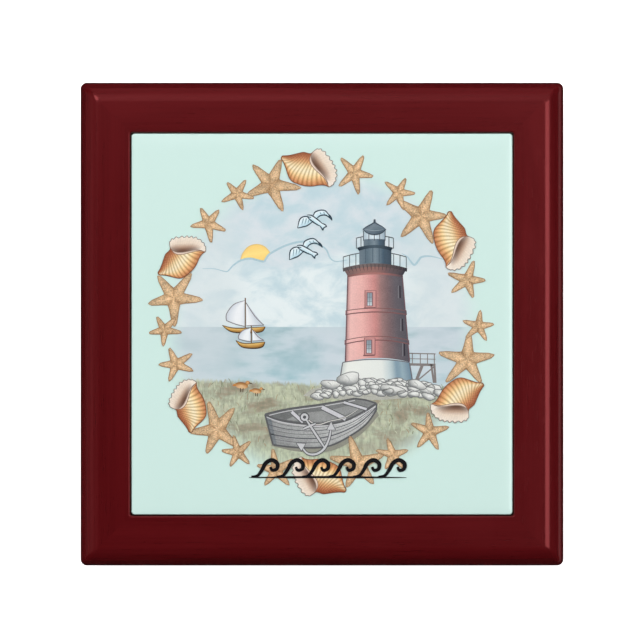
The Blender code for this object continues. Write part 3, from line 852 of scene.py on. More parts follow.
def shell(sheet, centre, size, turn, level=0):
    """A ribbed shell with a frilled lip."""
    outlines = (SHELL_BELOW, SHELL_ABOVE, SHELL_INNER, SHELL_OUTER)
    below, above, inner, outer = (smooth_path(scaled(points, size)) for points in outlines)

    def body(s, t):
        point = along(below, s).lerp(along(above, s), t)
        knob = 0.05 * math.sin(math.pi * t) * (1 - s) ** 8
        return spun((point.x - knob * size, point.y), turn, centre)

    def rib_tint(s, t):
        wave = 0.5 + 0.5 * math.cos(2 * math.pi * SHELL_RIBS * (s - 0.36 * t**2.3))
        shade = 0.50 + 0.56 * wave ** (0.4 + 0.5 * t)
        spire = (1 - s) ** 4 * 0.4
        groove = max(0.0, 1 - shade)
        red, green, blue, grain = lit(blended(SHELL_SKIN, t), shade * (1 - spire * 0.5))
        blue *= (1 - spire * 0.4) * (1 - 0.4 * groove)
        return red * (1 + 0.3 * groove), green * (1 - spire * 0.3), blue, grain

    def mouth(s, t):
        frill = 1 + 0.05 * math.sin(2 * math.pi * 12 * s) * t**4 * min(1, 6 * s, 6 * (1 - s))
        return spun(along(inner, s).lerp(along(outer, s), t * frill), turn, centre)

    def mouth_tint(s, t):
        depth = max(0.0, math.sin(math.pi * min(1.0, max(0.0, (s - 0.02) / 0.80)))) ** 0.5
        deepest = blended(SHELL_THROAT, max(0.0, (t - SHELL_LIP) / (1 - SHELL_LIP)))
        inside = tuple(a + (b - a) * depth for a, b in zip(SHELL_THROAT[-1][1], deepest))
        colour = rgb(232, 212, 196, 0.1) if t < SHELL_LIP else inside
        return lit(colour, 1 - 0.05 * math.sin(2 * math.pi * 24 * s) * t)

    brown = rgb(128, 84, 62, 0.2)
    sheet.swatch(132, 18, body, rib_tint, level)
    for t in (0, 1):
        sheet.stroke([body(step / 12, t) for step in range(13)], 0.004, brown, level + 1, steps=2)
    sheet.stroke([body(0, step / 16) for step in range(17)], 0.005, brown, level + 1, steps=2)
    sheet.swatch(96, 14, mouth, mouth_tint, level + 2)
    sheet.stroke([mouth(step / 96, 1) for step in range(97)], 0.0035, rgb(138, 126, 118, 0.2), level + 3, steps=1)
    sheet.stroke([mouth(step / 20, 0) for step in range(21)], 0.0035, rgb(150, 122, 104, 0.2), level + 3, steps=2)
    rolled = [mouth(step / 20, 0.13) for step in range(2, 19)]
    sheet.stroke(rolled, 0.003, rgb(150, 120, 104, 0.2), level + 3, steps=2)


# Each sixth of the wreath: the size and lean of its shell, then how far its shell and its three stars sit from an even
# ring, in degrees round it and in reach beyond it.
WREATH_SIXTHS = (
    (0.142, 0, ((0, 0), (0.2, -0.005), (0.2, -0.007), (0.4, 0.007))),
    (0.132, -2.4, ((0.6, -0.012), (0.7, -0.002), (-0.1, 0), (-1.9, 0.002))),
    (0.128, -4.6, ((-2.0, -0.010), (-3.4, -0.008), (-4.9, -0.018), (-4.2, 0.019))),
    (0.142, -5.4, ((-4.2, -0.016), (-3.8, -0.022), (-3.1, -0.031), (-1.9, 0.026))),
    (0.142, -7.0, ((-2.6, 0.005), (-2.5, 0.013), (-3.0, 0.016), (-0.8, 0.026))),
    (0.142, -1.8, ((-2.0, 0.004), (-2.1, -0.004), (-3.1, -0.012), (-0.3, 0.032))),
)


def print_wreath():
    """A ring of shells and starfish: one sixth is repeated round the picture."""
    sheet = Sheet("print_wreath", 20)
    rng = random.Random(11)
    middle = (-0.011, 0)
    for sixth, (size, lean, slips) in enumerate(WREATH_SIXTHS):
        start = 92.5 + 60 * sixth
        third = 0.100 if sixth < 2 else 0.107
        stars = ((16.6, 0.7845, 0.151, 0), (29.8, 0.820, 0.090, -4), (45.0, 0.785, third, -14))
        for number, (angle, reach, wide, turn) in enumerate(stars):
            round_by, out_by = slips[number + 1]
            centre = spun((reach + out_by, 0), start + angle + round_by, middle)
            starfish(sheet, centre, wide, turn + 60 * sixth + round_by, rng, number)
        round_by, out_by = slips[0]
        shell(sheet, spun((0.82 + out_by, 0), start + 1 + round_by, middle), size, 60 * sixth + lean, 5)
    sheet.finish()


def print_sky():
    """Sun, cloud edges and two gulls."""
    sheet = Sheet("print_sun_clouds_gulls", 2)
    bank = [(-0.468, 0.309), (-0.429, 0.335), (-0.377, 0.345), (-0.311, 0.330), (-0.295, 0.345), (-0.272, 0.372)]
    sun = [(-0.429, 0.338), (-0.418, 0.372), (-0.388, 0.407), (-0.345, 0.420), (-0.302, 0.408), (-0.272, 0.374)]
    sheet.between(bank[1:], sun, tones(0.05, (254, 212, 122), (255, 226, 140), (252, 210, 122)))
    sheet.stroke(sun, 0.005, rgb(232, 196, 128, 0.1), 1, (0.6, 0.6))
    near = [(-0.63, 0.292), (-0.57, 0.292), (-0.508, 0.277), (-0.490, 0.285), *bank, (-0.194, 0.413)]
    near += [(-0.115, 0.434), (-0.05, 0.428), (0.016, 0.400), (0.042, 0.350), (0.068, 0.331), (0.107, 0.333)]
    near += [(0.13, 0.337)]
    far = [(0.42, 0.372), (0.448, 0.356), (0.466, 0.332), (0.487, 0.312), (0.508, 0.335), (0.524, 0.353)]
    far += [(0.56, 0.358), (0.60, 0.352), (0.67, 0.332)]
    for edge, taper in ((near, (0.2, 0.3)), (far, (0.3, 0.2))):
        sheet.stroke(edge, 0.011, rgb(174, 203, 213, 0.15), 2, taper)
    for centre, turn in (((-0.045, 0.548), 0), ((-0.095, 0.392), 8)):
        gull(sheet, centre, 0.088, turn)
    sheet.finish()


# A gull's near wing, far wing, body and tail, each by its lower and its upper line, then the lines of its feathers.
GULL_LOWER = (
    [(0.00, -0.06), (-0.36, -0.32), (-0.62, -0.40), (-0.95, -0.48)],
    [(0.18, 0.08), (0.42, 0.27), (0.78, 0.28), (1.12, -0.02)],
    [(-0.38, 0.22), (-0.20, 0.02), (0.14, -0.22), (0.40, -0.36)],
    [(0.40, -0.36), (0.50, -0.50), (0.56, -0.62)],
)
GULL_UPPER = (
    [(-0.14, 0.16), (-0.52, 0.22), (-0.82, 0.04), (-0.95, -0.48)],
    [(-0.02, 0.26), (0.16, 0.52), (0.70, 0.56), (1.12, -0.02)],
    [(-0.38, 0.30), (-0.12, 0.28), (0.24, 0.04), (0.52, -0.20)],
    [(0.52, -0.20), (0.68, -0.26), (0.80, -0.38)],
)
GULL_FEATHERS = ((-0.60, 0.10, -0.70, -0.30), (-0.42, 0.10, -0.52, -0.26), (-0.24, 0.08, -0.34, -0.20))
GULL_FEATHERS += ((0.40, 0.46, 0.46, 0.34), (0.62, 0.48, 0.66, 0.34))


def gull(sheet, centre, size, turn):
    """A gliding gull with its wings half spread."""
    plumage = tones(0.05, (186, 218, 230), (216, 236, 243), (240, 248, 251))
    line, fine = rgb(52, 70, 82, 0.1), 0.0065
    place = (size, turn, centre)
    for level, outlines in enumerate(zip(GULL_LOWER, GULL_UPPER)):
        lower, upper = (scaled(points, *place) for points in outlines)
        sheet.between(lower, upper, plumage, 3 + level, rows=2)
        for edge in (upper, lower):
            sheet.stroke(edge, fine, line, 8, (0.6, 0.6))
    for x, y, end_x, end_y in GULL_FEATHERS:
        sheet.stroke(scaled([(x, y), (end_x, end_y)], *place), 0.004, rgb(110, 146, 162, 0.1), 8, (1, 0.4))
    sheet.stroke(scaled([(0.56, -0.62), (0.62, -0.46), (0.80, -0.38)], *place), fine, line, 8, steps=3)
    sheet.stroke(scaled([(0.92, 0.34), (1.12, -0.02)], *place), 0.012, line, 9, (0.4, 0.2), steps=5)


def print_sailboats():
    """Two small boats under sail near the horizon."""
    sheet = Sheet("print_sailboats", 2)
    hull = tones(0.15, (112, 80, 46), (206, 156, 82), (240, 208, 132, 0.1))
    sail = tones(0.05, (247, 249, 250), (226, 231, 236), (196, 204, 214))
    line, thin = rgb(128, 124, 128, 0.1), 0.0045
    boats = ((-0.404, -0.018, 0.142, 1.0, 0.028), (-0.372, -0.098, 0.078, 0.68, 0.030))
    for x, y, mast, size, depth in boats:
        bow, stern = (x - 0.122 * size, y + 0.012), (x + 0.105 * size, y + 0.004)
        deck = [bow, (x - 0.05 * size, y - 0.004), stern]
        keel = [bow, (x - 0.075 * size, y - 0.022), (x + 0.01, y - depth), (x + 0.085 * size, y - 0.022), stern]
        sheet.between(keel, deck, hull, 2)
        sheet.stroke(keel, 0.006, rgb(74, 58, 44, 0.1), 4, (0.4, 0.6))
        sheet.stroke(deck, 0.005, rgb(110, 84, 52, 0.1), 4, (0.6, 0.6))

        leech = [(x - 0.004, y + mast), (x - 0.06 * size, y + mast * 0.86)]
        leech += [(x - 0.098 * size, y + mast * 0.52), (x - 0.100 * size, y + mast * 0.26)]
        luff = [(x - 0.002, y + mast), (x - 0.006, y + mast * 0.7)]
        luff += [(x - 0.004, y + mast * 0.35), (x - 0.006, y + 0.008)]
        sheet.between(leech, luff, lambda s, t: blended(sail, abs(1 - 1.6 * t) * 0.9), 5)
        sheet.stroke(leech, thin, line, 6, (0.5, 1))
        foot = [leech[-1], (x - 0.05 * size, y + mast * 0.12), (x - 0.004, y + 0.006)]
        sheet.stroke(foot, thin, line, 6, steps=3)

        tack, clew = (x + 0.008, y + 0.010), (x + 0.096 * size, y + 0.012)
        jib = facet([tack, clew, (x + 0.004, y + mast * 0.9), (x + 0.006, y + mast * 0.9)])
        sheet.swatch(5, 6, jib, lambda s, t: blended(sail, min(1, s * 1.1)), 5)
        clew = (x + 0.098 * size, y + 0.012)
        leech = [(x + 0.004, y + mast * 0.92), (x + 0.050 * size, y + mast * 0.42), clew]
        sheet.stroke(leech, thin, line, 6, steps=3)
        sheet.stroke([clew, (x + 0.006, y + 0.009)], 0.004, line, 6)
        sheet.stroke([(x, y), (x, y + mast + 0.014)], 0.006, rgb(118, 96, 74, 0.1), 7)
    sheet.finish()


BRICK = stops(
    (0.0, 150, 108, 108, 0.2), (0.05, 236, 190, 184, 0.2), (0.25, 234, 180, 174, 0.2), (0.48, 206, 142, 138, 0.25),
    (0.60, 152, 120, 118, 0.3), (0.70, 126, 104, 106, 0.3), (0.84, 100, 94, 100, 0.3), (1.0, 88, 86, 94, 0.3),
)
WHITEWASH = stops(
    (0.0, 196, 204, 200, 0.06), (0.08, 236, 238, 232, 0.05), (0.58, 230, 234, 229, 0.05),
    (0.70, 196, 210, 212, 0.08), (0.80, 124, 152, 168, 0.1), (0.88, 150, 172, 182, 0.1), (1.0, 108, 134, 152, 0.1),
)
SLATE = tones(0.2, (112, 126, 136), (96, 114, 126), (124, 140, 150), (74, 94, 110), (66, 78, 90))
ROOF = tones(0.2, (78, 92, 104), (120, 134, 144), (92, 108, 120), (62, 74, 86))
CORBEL = tones(0.2, (116, 96, 94), (150, 112, 106), (150, 108, 102), (104, 88, 90), (66, 64, 72))
CORBEL_ARCH = tones(0.15, (128, 90, 86), (176, 122, 116), (160, 108, 104), (84, 74, 80))
GALLERY = tones(0.12, (88, 84, 86), (122, 108, 106), (96, 84, 84), (52, 52, 60))
UPPER_GALLERY = tones(0.1, (44, 56, 66), (76, 92, 104), (36, 46, 56))
LANTERN_GLASS = tones(0.05, (176, 194, 204), (222, 234, 240), (150, 170, 184))
WINDOW_GLASS = tones(0.05, (206, 216, 220), (156, 170, 178), (138, 150, 160))
NARROW_WINDOW = tones(0.1, (142, 140, 146), (60, 56, 64), (50, 48, 56))
EAVE = [(0.215, 0.5), (0.232, 0.484), (0.255, 0.474), (0.277, 0.471), (0.299, 0.474), (0.32, 0.483), (0.337, 0.498)]
CROWN = [(0.215, 0.5), (0.236, 0.514), (0.258, 0.525), (0.277, 0.535), (0.296, 0.525), (0.318, 0.513)]
CROWN += [(0.337, 0.498)]


def drum(middle, low, high, half_low, half_high, sag=0.0):
    """place(s, t) over the front of a round tower, seen a little from below or above by its sag."""

    def place(s, t):
        half = half_low + (half_high - half_low) * t
        drop = sag * (1 - (2 * s - 1) ** 2)
        return middle + half * (2 * s - 1), low + (high - low) * t - drop

    return place


def tower_middle(v):
    """The tower's axis, which leans a little, at a height."""
    return 0.2795 + 0.0278 * (0.255 - v)


def tower_half(v):
    """Half the tapered tower's width at a height."""
    return 0.1435 + 0.0568 * (0.255 - v)


def course(low, high, bulge, arch):
    """place(s, t) over one course of the leaning, tapered tower."""

    def place(s, t):
        v = low + (high - low) * t
        side = 2 * s - 1
        return tower_middle(v) + (tower_half(v) + bulge) * side, v + arch * (1 - side * side)

    return place


def print_lighthouse():
    """A plain tower on a white base, seen a little from below, with its lantern, galleries and a timber landing."""
    sheet = Sheet("print_lighthouse", 2)
    landing(sheet)

    # White base, then the tower in three courses
    base = drum(0.285, -0.325, -0.202, 0.196, 0.176, -0.016)
    sheet.swatch(24, 4, base, across(WHITEWASH), 2)
    sheet.stroke([base(s / 8, 1) for s in range(9)], 0.005, PENCIL, 4, steps=2)
    for side in (0, 1):
        sheet.stroke([base(side, t / 3) for t in range(4)], 0.006, PENCIL, 4, steps=2)
    for low, high, arch in ((-0.200, -0.094, 0.022), (-0.104, 0.066, 0.020), (0.056, 0.262, 0.014)):
        sheet.swatch(28, 6, course(low, high, 0, arch), across(BRICK), 3)
    bands = ((0.0, 0.018, across(BRICK), 4), (0.010, 0.004, BROWN_PENCIL, 5), (-0.010, 0.006, BROWN_PENCIL, 5))
    for low, arch in ((-0.096, 0.022), (0.060, 0.014)):
        for lift, width, tint, level in bands:
            band = course(low + lift - width / 2, low + lift + width / 2, 0.007, arch)
            sheet.swatch(28, 1, band, tint, level)
    for side in (-1, 1):
        edge = [(tower_middle(v) + side * tower_half(v), v) for v in (-0.198, -0.05, 0.10, 0.26)]
        sheet.stroke(edge, 0.006, rgb(112, 86, 92, 0.15), 6, steps=3)
    tower_windows(sheet)

    # Corbelled gallery
    sheet.swatch(24, 3, drum(0.2795, 0.252, 0.290, 0.1435, 0.166, -0.012), across(CORBEL), 6)
    sheet.swatch(24, 1, drum(0.2795, 0.246, 0.256, 0.146, 0.146, -0.016), across(CORBEL_ARCH), 7)
    brim = drum(0.279, 0.276, 0.294, 0.168, 0.170, -0.026)
    sheet.swatch(28, 2, brim, across(GALLERY), 8)
    under = drum(0.2795, 0.262, 0.290, 0.150, 0.166, -0.018)
    for s in (step / 16 for step in range(1, 16)):
        sheet.stroke([brim(s, 0.9), under(s, 0.1)], 0.004, rgb(84, 72, 74, 0.1), 9, (1, 0.3))

    # Watch room, upper gallery, lantern and roof
    sheet.swatch(20, 3, drum(0.281, 0.300, 0.396, 0.0845, 0.0845, -0.010), across(SLATE), 7)
    ribs = drum(0.281, 0.318, 0.392, 0.0845, 0.0845, -0.008)
    for s in (0.2, 0.42, 0.62, 0.8):
        sheet.stroke([ribs(s, 0), ribs(s, 1)], 0.003, rgb(70, 86, 98, 0.1), 9)
    sheet.swatch(20, 1, drum(0.279, 0.386, 0.402, 0.084, 0.096, -0.015), across(UPPER_GALLERY), 10)
    sheet.swatch(16, 2, drum(0.2755, 0.404, 0.448, 0.056, 0.057, -0.006), across(SLATE), 10)
    sheet.swatch(16, 2, drum(0.2755, 0.446, 0.484, 0.057, 0.057, -0.003), across(LANTERN_GLASS), 10)
    for x in (0.2185 + 0.0285 * step for step in range(5)):
        sheet.stroke([(x, 0.440), (x, 0.492)], 0.004, DARK_PENCIL, 11)
    sheet.between(EAVE, CROWN, lambda s, t: blended(ROOF, 0.5 * s + 0.5 * (1 - t)), 12)
    for line in (EAVE, CROWN):
        sheet.stroke(line, 0.006, rgb(64, 76, 88, 0.1), 13, (0.5, 0.5))
    ledge = [(0.226, 0.500), (0.255, 0.494), (0.277, 0.492), (0.300, 0.494), (0.326, 0.499)]
    sheet.stroke(ledge, 0.003, rgb(150, 164, 172, 0.1), 13, (0.3, 0.3))
    sheet.stroke([(0.277, 0.530), (0.277, 0.552)], 0.012, rgb(66, 78, 90, 0.1), 13, (1, 0.8))

    railing(sheet, 0.278, 0.166, 0.294, 0.354, 0.026, 11, 6)
    railing(sheet, 0.279, 0.098, 0.398, 0.453, 0.014, 9, 9)
    sheet.finish()


def landing(sheet):
    """Timber landing beside the base."""
    plank, post = rgb(134, 128, 126, 0.15), rgb(132, 124, 122, 0.15)
    for height, width in ((-0.212, 0.013), (-0.154, 0.006), (-0.182, 0.004)):
        sheet.stroke([(0.455, height), (0.598, height - 0.003)], width, plank)
    for top, foot, width in ((0.592, 0.598, 0.011), (0.530, 0.492, 0.016), (0.575, 0.590, 0.011)):
        sheet.stroke([(top, -0.212), (foot, -0.310)], width, post)
    for x in (0.476, 0.518, 0.556, 0.592):
        sheet.stroke([(x, -0.154), (x, -0.212)], 0.005, plank)
    sheet.stroke([(0.500, -0.300), (0.590, -0.225)], 0.007, post, 2)


def tower_windows(sheet):
    """Two sash windows, and three narrow ones turned away on the shaded side."""
    bar = rgb(110, 116, 124, 0.1)
    for u, v, wide in ((0.2555, 0.131, 0.029), (0.2515, -0.1185, 0.028)):
        frame = pane(u, v, wide, 0.046)
        sheet.swatch(3, 2, frame, rgb(206, 150, 146, 0.1), 7)
        corners = [frame(0, 0), frame(0, 1), frame(1, 1), frame(1, 0)]
        sheet.stroke(corners, 0.005, rgb(150, 104, 102, 0.1), 8, steps=1)
        sheet.swatch(3, 2, pane(u - 0.004, v, 0.017, 0.037), rgb(140, 106, 108, 0.1), 8)
        sheet.swatch(3, 4, pane(u - 0.004, v, 0.0115, 0.033), WINDOW_GLASS, 9)
        sheet.stroke([(u - 0.034, v - 0.047), (u + 0.026, v - 0.045)], 0.007, BROWN_PENCIL, 9)
        sheet.stroke([(u - 0.004, v - 0.033), (u - 0.004, v + 0.033)], 0.0025, bar, 10)
        for lift in (-0.011, 0.011):
            sheet.stroke([(u - 0.0155, v + lift), (u + 0.0075, v + lift)], 0.0025, bar, 10)
    for v in (0.170, -0.004, -0.135):
        x = tower_middle(v) + tower_half(v) * 0.84
        corners = ((-0.006, -0.034), (0.009, -0.032), (-0.006, 0.034), (0.007, 0.032))
        sheet.swatch(3, 3, facet([(x + a, v + b) for a, b in corners]), across(NARROW_WINDOW), 7)


def railing(sheet, centre, reach, low, high, rise, posts, level):
    """A round gallery's railing, which climbs toward the middle by its rise."""
    for s in (2 * step / (posts - 1) - 1 for step in range(posts)):
        x, lift = centre + reach * s, rise * (1 - s * s)
        sheet.stroke([(x, low + lift), (x, high + lift)], 0.0035, DARK_PENCIL, level)
    rail = [(centre + reach * s / 4, high + rise * (1 - s * s / 16)) for s in range(-4, 5)]
    sheet.stroke(rail, 0.0045, DARK_PENCIL, level, steps=3)


ROCK_ROWS = (  # height, left end, right end, count and size
    (-0.300, 0.07, 0.56, 15, 0.026),
    (-0.318, 0.02, 0.61, 18, 0.030),
    (-0.338, -0.03, 0.63, 20, 0.030),
    (-0.360, -0.05, 0.58, 18, 0.026),
)
BOULDERS = (  # place, half width and half height
    (0.14, -0.288, 0.054, 0.038),
    (0.045, -0.318, 0.050, 0.024),
    (0.37, -0.346, 0.062, 0.026),
    (0.50, -0.318, 0.046, 0.024),
)


def print_rocks():
    """Pale boulders heaped round the foot of the tower."""
    sheet = Sheet("print_rocks", 10)
    rng = random.Random(4)
    stone = tones(0.3, (236, 237, 233, 0.2), (204, 205, 202, 0.25), (150, 153, 152), (116, 121, 122))

    def rock(x, v, wide, tall, level):
        phase = [rng.uniform(0, 6.3) for _ in range(3)]

        def craggy(s):
            angle = 2 * math.pi * s
            lumps = 0.11 * math.sin(2 * angle + phase[0]) + 0.09 * math.sin(3 * angle + phase[1])
            return 1 + lumps + 0.05 * math.sin(5 * angle + phase[2])

        def tint(s, t):
            below = 0.5 - 0.5 * math.sin(2 * math.pi * s + 0.5)
            return blended(stone, min(1, 0.05 + 0.95 * t * below))

        edge = sheet.blob((x, v), (wide, tall), tint, level, rng.uniform(-16, 8), craggy, 22, 4)
        sheet.stroke(edge[::2], 0.0042, rgb(124, 126, 126, 0.3), level + 1, closed=True, steps=2)
        if wide > 0.034:
            crack = [(x + wide * a, v + tall * b) for a, b in ((-0.3, 0.5), (0.05, 0.0), (0.0, -0.6))]
            sheet.stroke(crack, 0.003, rgb(164, 166, 164, 0.2), level + 1, (1, 0.2), steps=3)

    foot = [(-0.10, -0.378), (0.10, -0.395), (0.34, -0.398), (0.58, -0.370)]
    heap = [(-0.06, -0.345), (0.12, -0.31), (0.34, -0.31), (0.60, -0.325)]
    sheet.between(foot, heap, rgb(182, 182, 172, 0.4))
    for row, (v, left, right, count, size) in enumerate(ROCK_ROWS):
        for index in range(count):
            x = left + (right - left) * (index + rng.uniform(0.2, 0.8)) / count
            droop = 0.024 * ((x - 0.29) / 0.31) ** 2
            wide, tall = size * rng.uniform(0.7, 1.5), size * rng.uniform(0.42, 0.74)
            rock(x, v - droop + rng.uniform(-0.006, 0.006), wide, tall, row * 2 + index % 2)
    for boulder in BOULDERS:
        rock(*boulder, 8)
    sheet.finish()


BOAT_FAR = [(-0.30, -0.475), (-0.18, -0.447), (0.0, -0.422), (0.17, -0.392)]
BOAT_BOW = [(0.17, -0.392), (0.23, -0.400), (0.287, -0.418)]
BOAT_NEAR = [(-0.30, -0.478), (-0.22, -0.506), (-0.10, -0.524), (0.03, -0.526), (0.15, -0.498), (0.287, -0.418)]
BOAT_KEEL = [(-0.255, -0.636), (-0.13, -0.650), (0.02, -0.646), (0.13, -0.600), (0.23, -0.530), (0.287, -0.452)]
BOAT_SHADOW = [(-0.27, -0.640), (-0.12, -0.672), (0.05, -0.668), (0.20, -0.585), (0.30, -0.480)]
BOAT_FLOOR = ([(-0.19, -0.505), (0.02, -0.512), (0.20, -0.446)], [(-0.12, -0.470), (0.04, -0.452), (0.18, -0.418)])
BOAT_BENCHES = (
    ((0.00, -0.438), (0.125, -0.500), 0.030),
    ((0.115, -0.412), (0.235, -0.448), 0.022),
    ((-0.16, -0.462), (-0.10, -0.516), 0.026),
)


def print_rowboat():
    """A grey rowing boat drawn up on the grass."""
    sheet = Sheet("print_rowboat", 12)
    wood = tones(0.5, (134, 136, 136), (176, 178, 177), (208, 210, 208, 0.4))
    dark = rgb(96, 97, 99, 0.15)
    sheet.between(BOAT_SHADOW, BOAT_KEEL, rgb(146, 146, 134, 0.25), 0, rows=2)
    sheet.between(BOAT_NEAR, BOAT_FAR + BOAT_BOW[1:], across(tones(0.4, (106, 108, 108), (138, 140, 139))), 1)
    sheet.between(*BOAT_FLOOR, rgb(150, 152, 151, 0.4), 2)

    def side(s, t):
        streak = 0.07 * math.sin(34 * t + 4 * math.sin(3 * s)) + 0.06 * math.sin(71 * t - 7 * s)
        return lit(blended(wood, min(1, 0.10 + 0.9 * s)), 0.90 + 0.18 * t + streak)

    sheet.between(BOAT_KEEL, BOAT_NEAR, side, 4, rows=22)
    near, keel = smooth_path(BOAT_NEAR), smooth_path(BOAT_KEEL)
    for share, width in ((0.36, 0.006), (0.68, 0.004), (0.52, 0.0025), (0.20, 0.0025), (0.84, 0.0025)):
        seam = [along(keel, step / 10).lerp(along(near, step / 10), share) for step in range(11)]
        sheet.stroke(seam, width, rgb(96, 96, 102, 0.2), 5, steps=2)
    transom = facet([(-0.262, -0.634), (-0.238, -0.640), (-0.304, -0.478), (-0.268, -0.494)])
    sheet.swatch(3, 6, transom, rgb(122, 128, 132, 0.4), 5)
    for line, width in ((BOAT_FAR, 0.009), (BOAT_BOW, 0.009), (BOAT_NEAR, 0.011), (BOAT_KEEL, 0.009)):
        sheet.stroke(line, width, dark, 7)
    for post in ([(-0.30, -0.475), (-0.258, -0.636)], [(0.287, -0.418), (0.287, -0.452)]):
        sheet.stroke(post, 0.009, dark, 7)
    for line in (BOAT_FAR, BOAT_NEAR):
        sheet.stroke([(x + 0.004, y - 0.010) for x, y in line], 0.004, rgb(206, 206, 208, 0.1), 6)
    for start, end, width in BOAT_BENCHES:
        sheet.stroke([start, end], width, dark, 8, steps=3)
        sheet.stroke([start, end], width - 0.010, rgb(206, 206, 210, 0.15), 9, steps=3)
    anchor(sheet)
    sheet.finish()


def anchor(sheet):
    """An anchor hung over the boat's side on a rope."""
    metal, outline = rgb(200, 201, 203, 0.12), rgb(88, 89, 92, 0.12)
    shank = [(-0.082, -0.505), (-0.03, -0.585), (0.012, -0.648)]
    arms = [(-0.105, -0.650), (-0.075, -0.682), (-0.03, -0.684), (0.012, -0.655), (0.038, -0.600), (0.048, -0.545)]
    stock = [(-0.098, -0.552), (-0.034, -0.524)]
    rope = [(-0.086, -0.492), (-0.03, -0.530), (0.04, -0.512), (0.12, -0.492), (0.19, -0.448)]
    sheet.stroke(rope, 0.010, outline, 10, (1, 0.5))
    sheet.stroke(rope, 0.005, rgb(214, 212, 206, 0.1), 11, (1, 0.5))
    for width, ink, level, taper in ((0.020, outline, 12, 0.7), (0.011, metal, 13, 0.6)):
        for line in (shank, arms, stock):
            sheet.stroke(line, width, ink, level, (taper, taper), steps=5)
    for tip, turn in (((0.048, -0.540), 90), ((-0.112, -0.640), 150)):
        fluke = [spun(point, turn, tip) for point in ((-0.018, -0.024), (0.028, 0), (-0.018, 0.024))]
        sheet.swatch(2, 2, facet([fluke[0], fluke[2], fluke[1], fluke[1]]), metal, 13)
        sheet.stroke(fluke, 0.006, outline, 14, closed=True, steps=1)
    for radius, ink, level, columns in ((0.026, outline, 12, 20), (0.020, metal, 13, 20), (0.009, outline, 14, 14)):
        sheet.blob((-0.092, -0.490), (radius, radius), ink, level, columns=columns, rows=1)


def print_shorebirds():
    """Two small sandpipers on the shore."""
    sheet = Sheet("print_shorebirds", 10)
    plume = tones(0.2, (238, 208, 166, 0.1), (202, 148, 94), (138, 96, 60))

    def back(s, t):
        return blended(plume, min(1, 0.2 + t * (0.5 + 0.5 * math.sin(2 * math.pi * s))))

    def face(s, t):
        return blended(plume, 0.3 + 0.4 * t)

    for centre, size in (((-0.424, -0.323), 0.034), ((-0.346, -0.352), 0.027)):
        head, *beak = scaled([(0.95, 0.42), (1.2, 0.4), (1.75, 0.2)], size, 0, centre)
        sheet.blob(centre, (size, size * 0.52), back, 1, -8, None, 20, 3)
        sheet.blob(head, (size * 0.34, size * 0.30), face, 2, 0, None, 14, 2)
        sheet.stroke(beak, 0.005, rgb(92, 70, 54, 0.1), 3, (1, 0.2))
        tail = scaled([(-0.9, 0.1), (-1.4, -0.02)], size, 0, centre)
        sheet.stroke(tail, 0.012, rgb(196, 130, 70, 0.2), 2, (1, 0.1))
        for leg in (-0.15, 0.25):
            shin = scaled([(leg, -0.4), (leg * 0.8, -1.05)], size, 0, centre)
            sheet.stroke(shin, 0.004, rgb(96, 76, 60, 0.1), 2)
    sheet.finish()


GRASS_GREENS = [rgb(148, 158, 128, 0.2), rgb(172, 177, 146, 0.2), rgb(170, 150, 124, 0.2)]
GRASS_GREENS += [rgb(198, 203, 176, 0.2), rgb(134, 138, 114, 0.2)]


def print_grass():
    """Tufts of dune grass, brushed in over the painted ground."""
    sheet = Sheet("print_grass", 1)
    rng = random.Random(7)
    for index in range(420):
        x = rng.uniform(-0.78, 0.74)
        y = rng.triangular(-0.72, -0.30, -0.34)
        if math.hypot(x, y) > 0.76 or (y > -0.40 and 0.0 < x < 0.58):
            continue
        tall = rng.uniform(0.012, 0.036)
        lean = rng.uniform(-0.018, 0.018)
        path = [(x, y), (x + lean * 0.4, y + tall * 0.6), (x + lean, y + tall)]
        sheet.stroke(path, rng.uniform(0.0025, 0.0045), rng.choice(GRASS_GREENS), index % 7, (0.8, 0.1), steps=3)
    sheet.finish()


def print_wave_border():
    """A bold running scroll of waves under the picture."""
    sheet = Sheet("print_wave_border", 30)
    ink = rgb(22, 22, 25, 0.1)
    swell = [(-0.072, -0.046), (-0.040, -0.040), (-0.016, -0.010), (0.004, 0.026), (0.036, 0.042), (0.064, 0.024)]
    swell += [(0.062, -0.004), (0.038, -0.012), (0.028, 0.006)]
    for x in (-0.300 + 0.134 * index for index in range(6)):
        sheet.stroke([(x + a, -0.758 + b) for a, b in swell], 0.022, ink, 0, (0.5, 0.6))
    sheet.stroke([(-0.385, -0.808), (0.0, -0.806), (0.445, -0.808)], 0.012, ink, 2, (0.2, 0.2))
    sheet.finish()


PRINTED_GLAZE = print_material()


# ---------------------------------------------------------------- stage, lights and camera


def area_light(name, place, power, wide, deep, mirrored=True, aim=(0, 0, 0.05)):
    """A soft light that looks at the box, wide across it. mirrored says whether the lacquer reflects it."""
    data = bpy.data.lights.new(name, "AREA")
    data.shape = "RECTANGLE"
    data.size, data.size_y = wide, deep
    data.energy = power
    lamp = placed(name, data)
    away = (Vector(place) - Vector(aim)).normalized()
    sideways = Vector((0, 1, 0)).cross(away).normalized()
    axes = Matrix((sideways, away.cross(sideways), away))
    lamp.matrix_world = Matrix.Translation(place) @ axes.transposed().to_4x4()
    lamp.visible_glossy = mirrored
    lamp.visible_camera = False


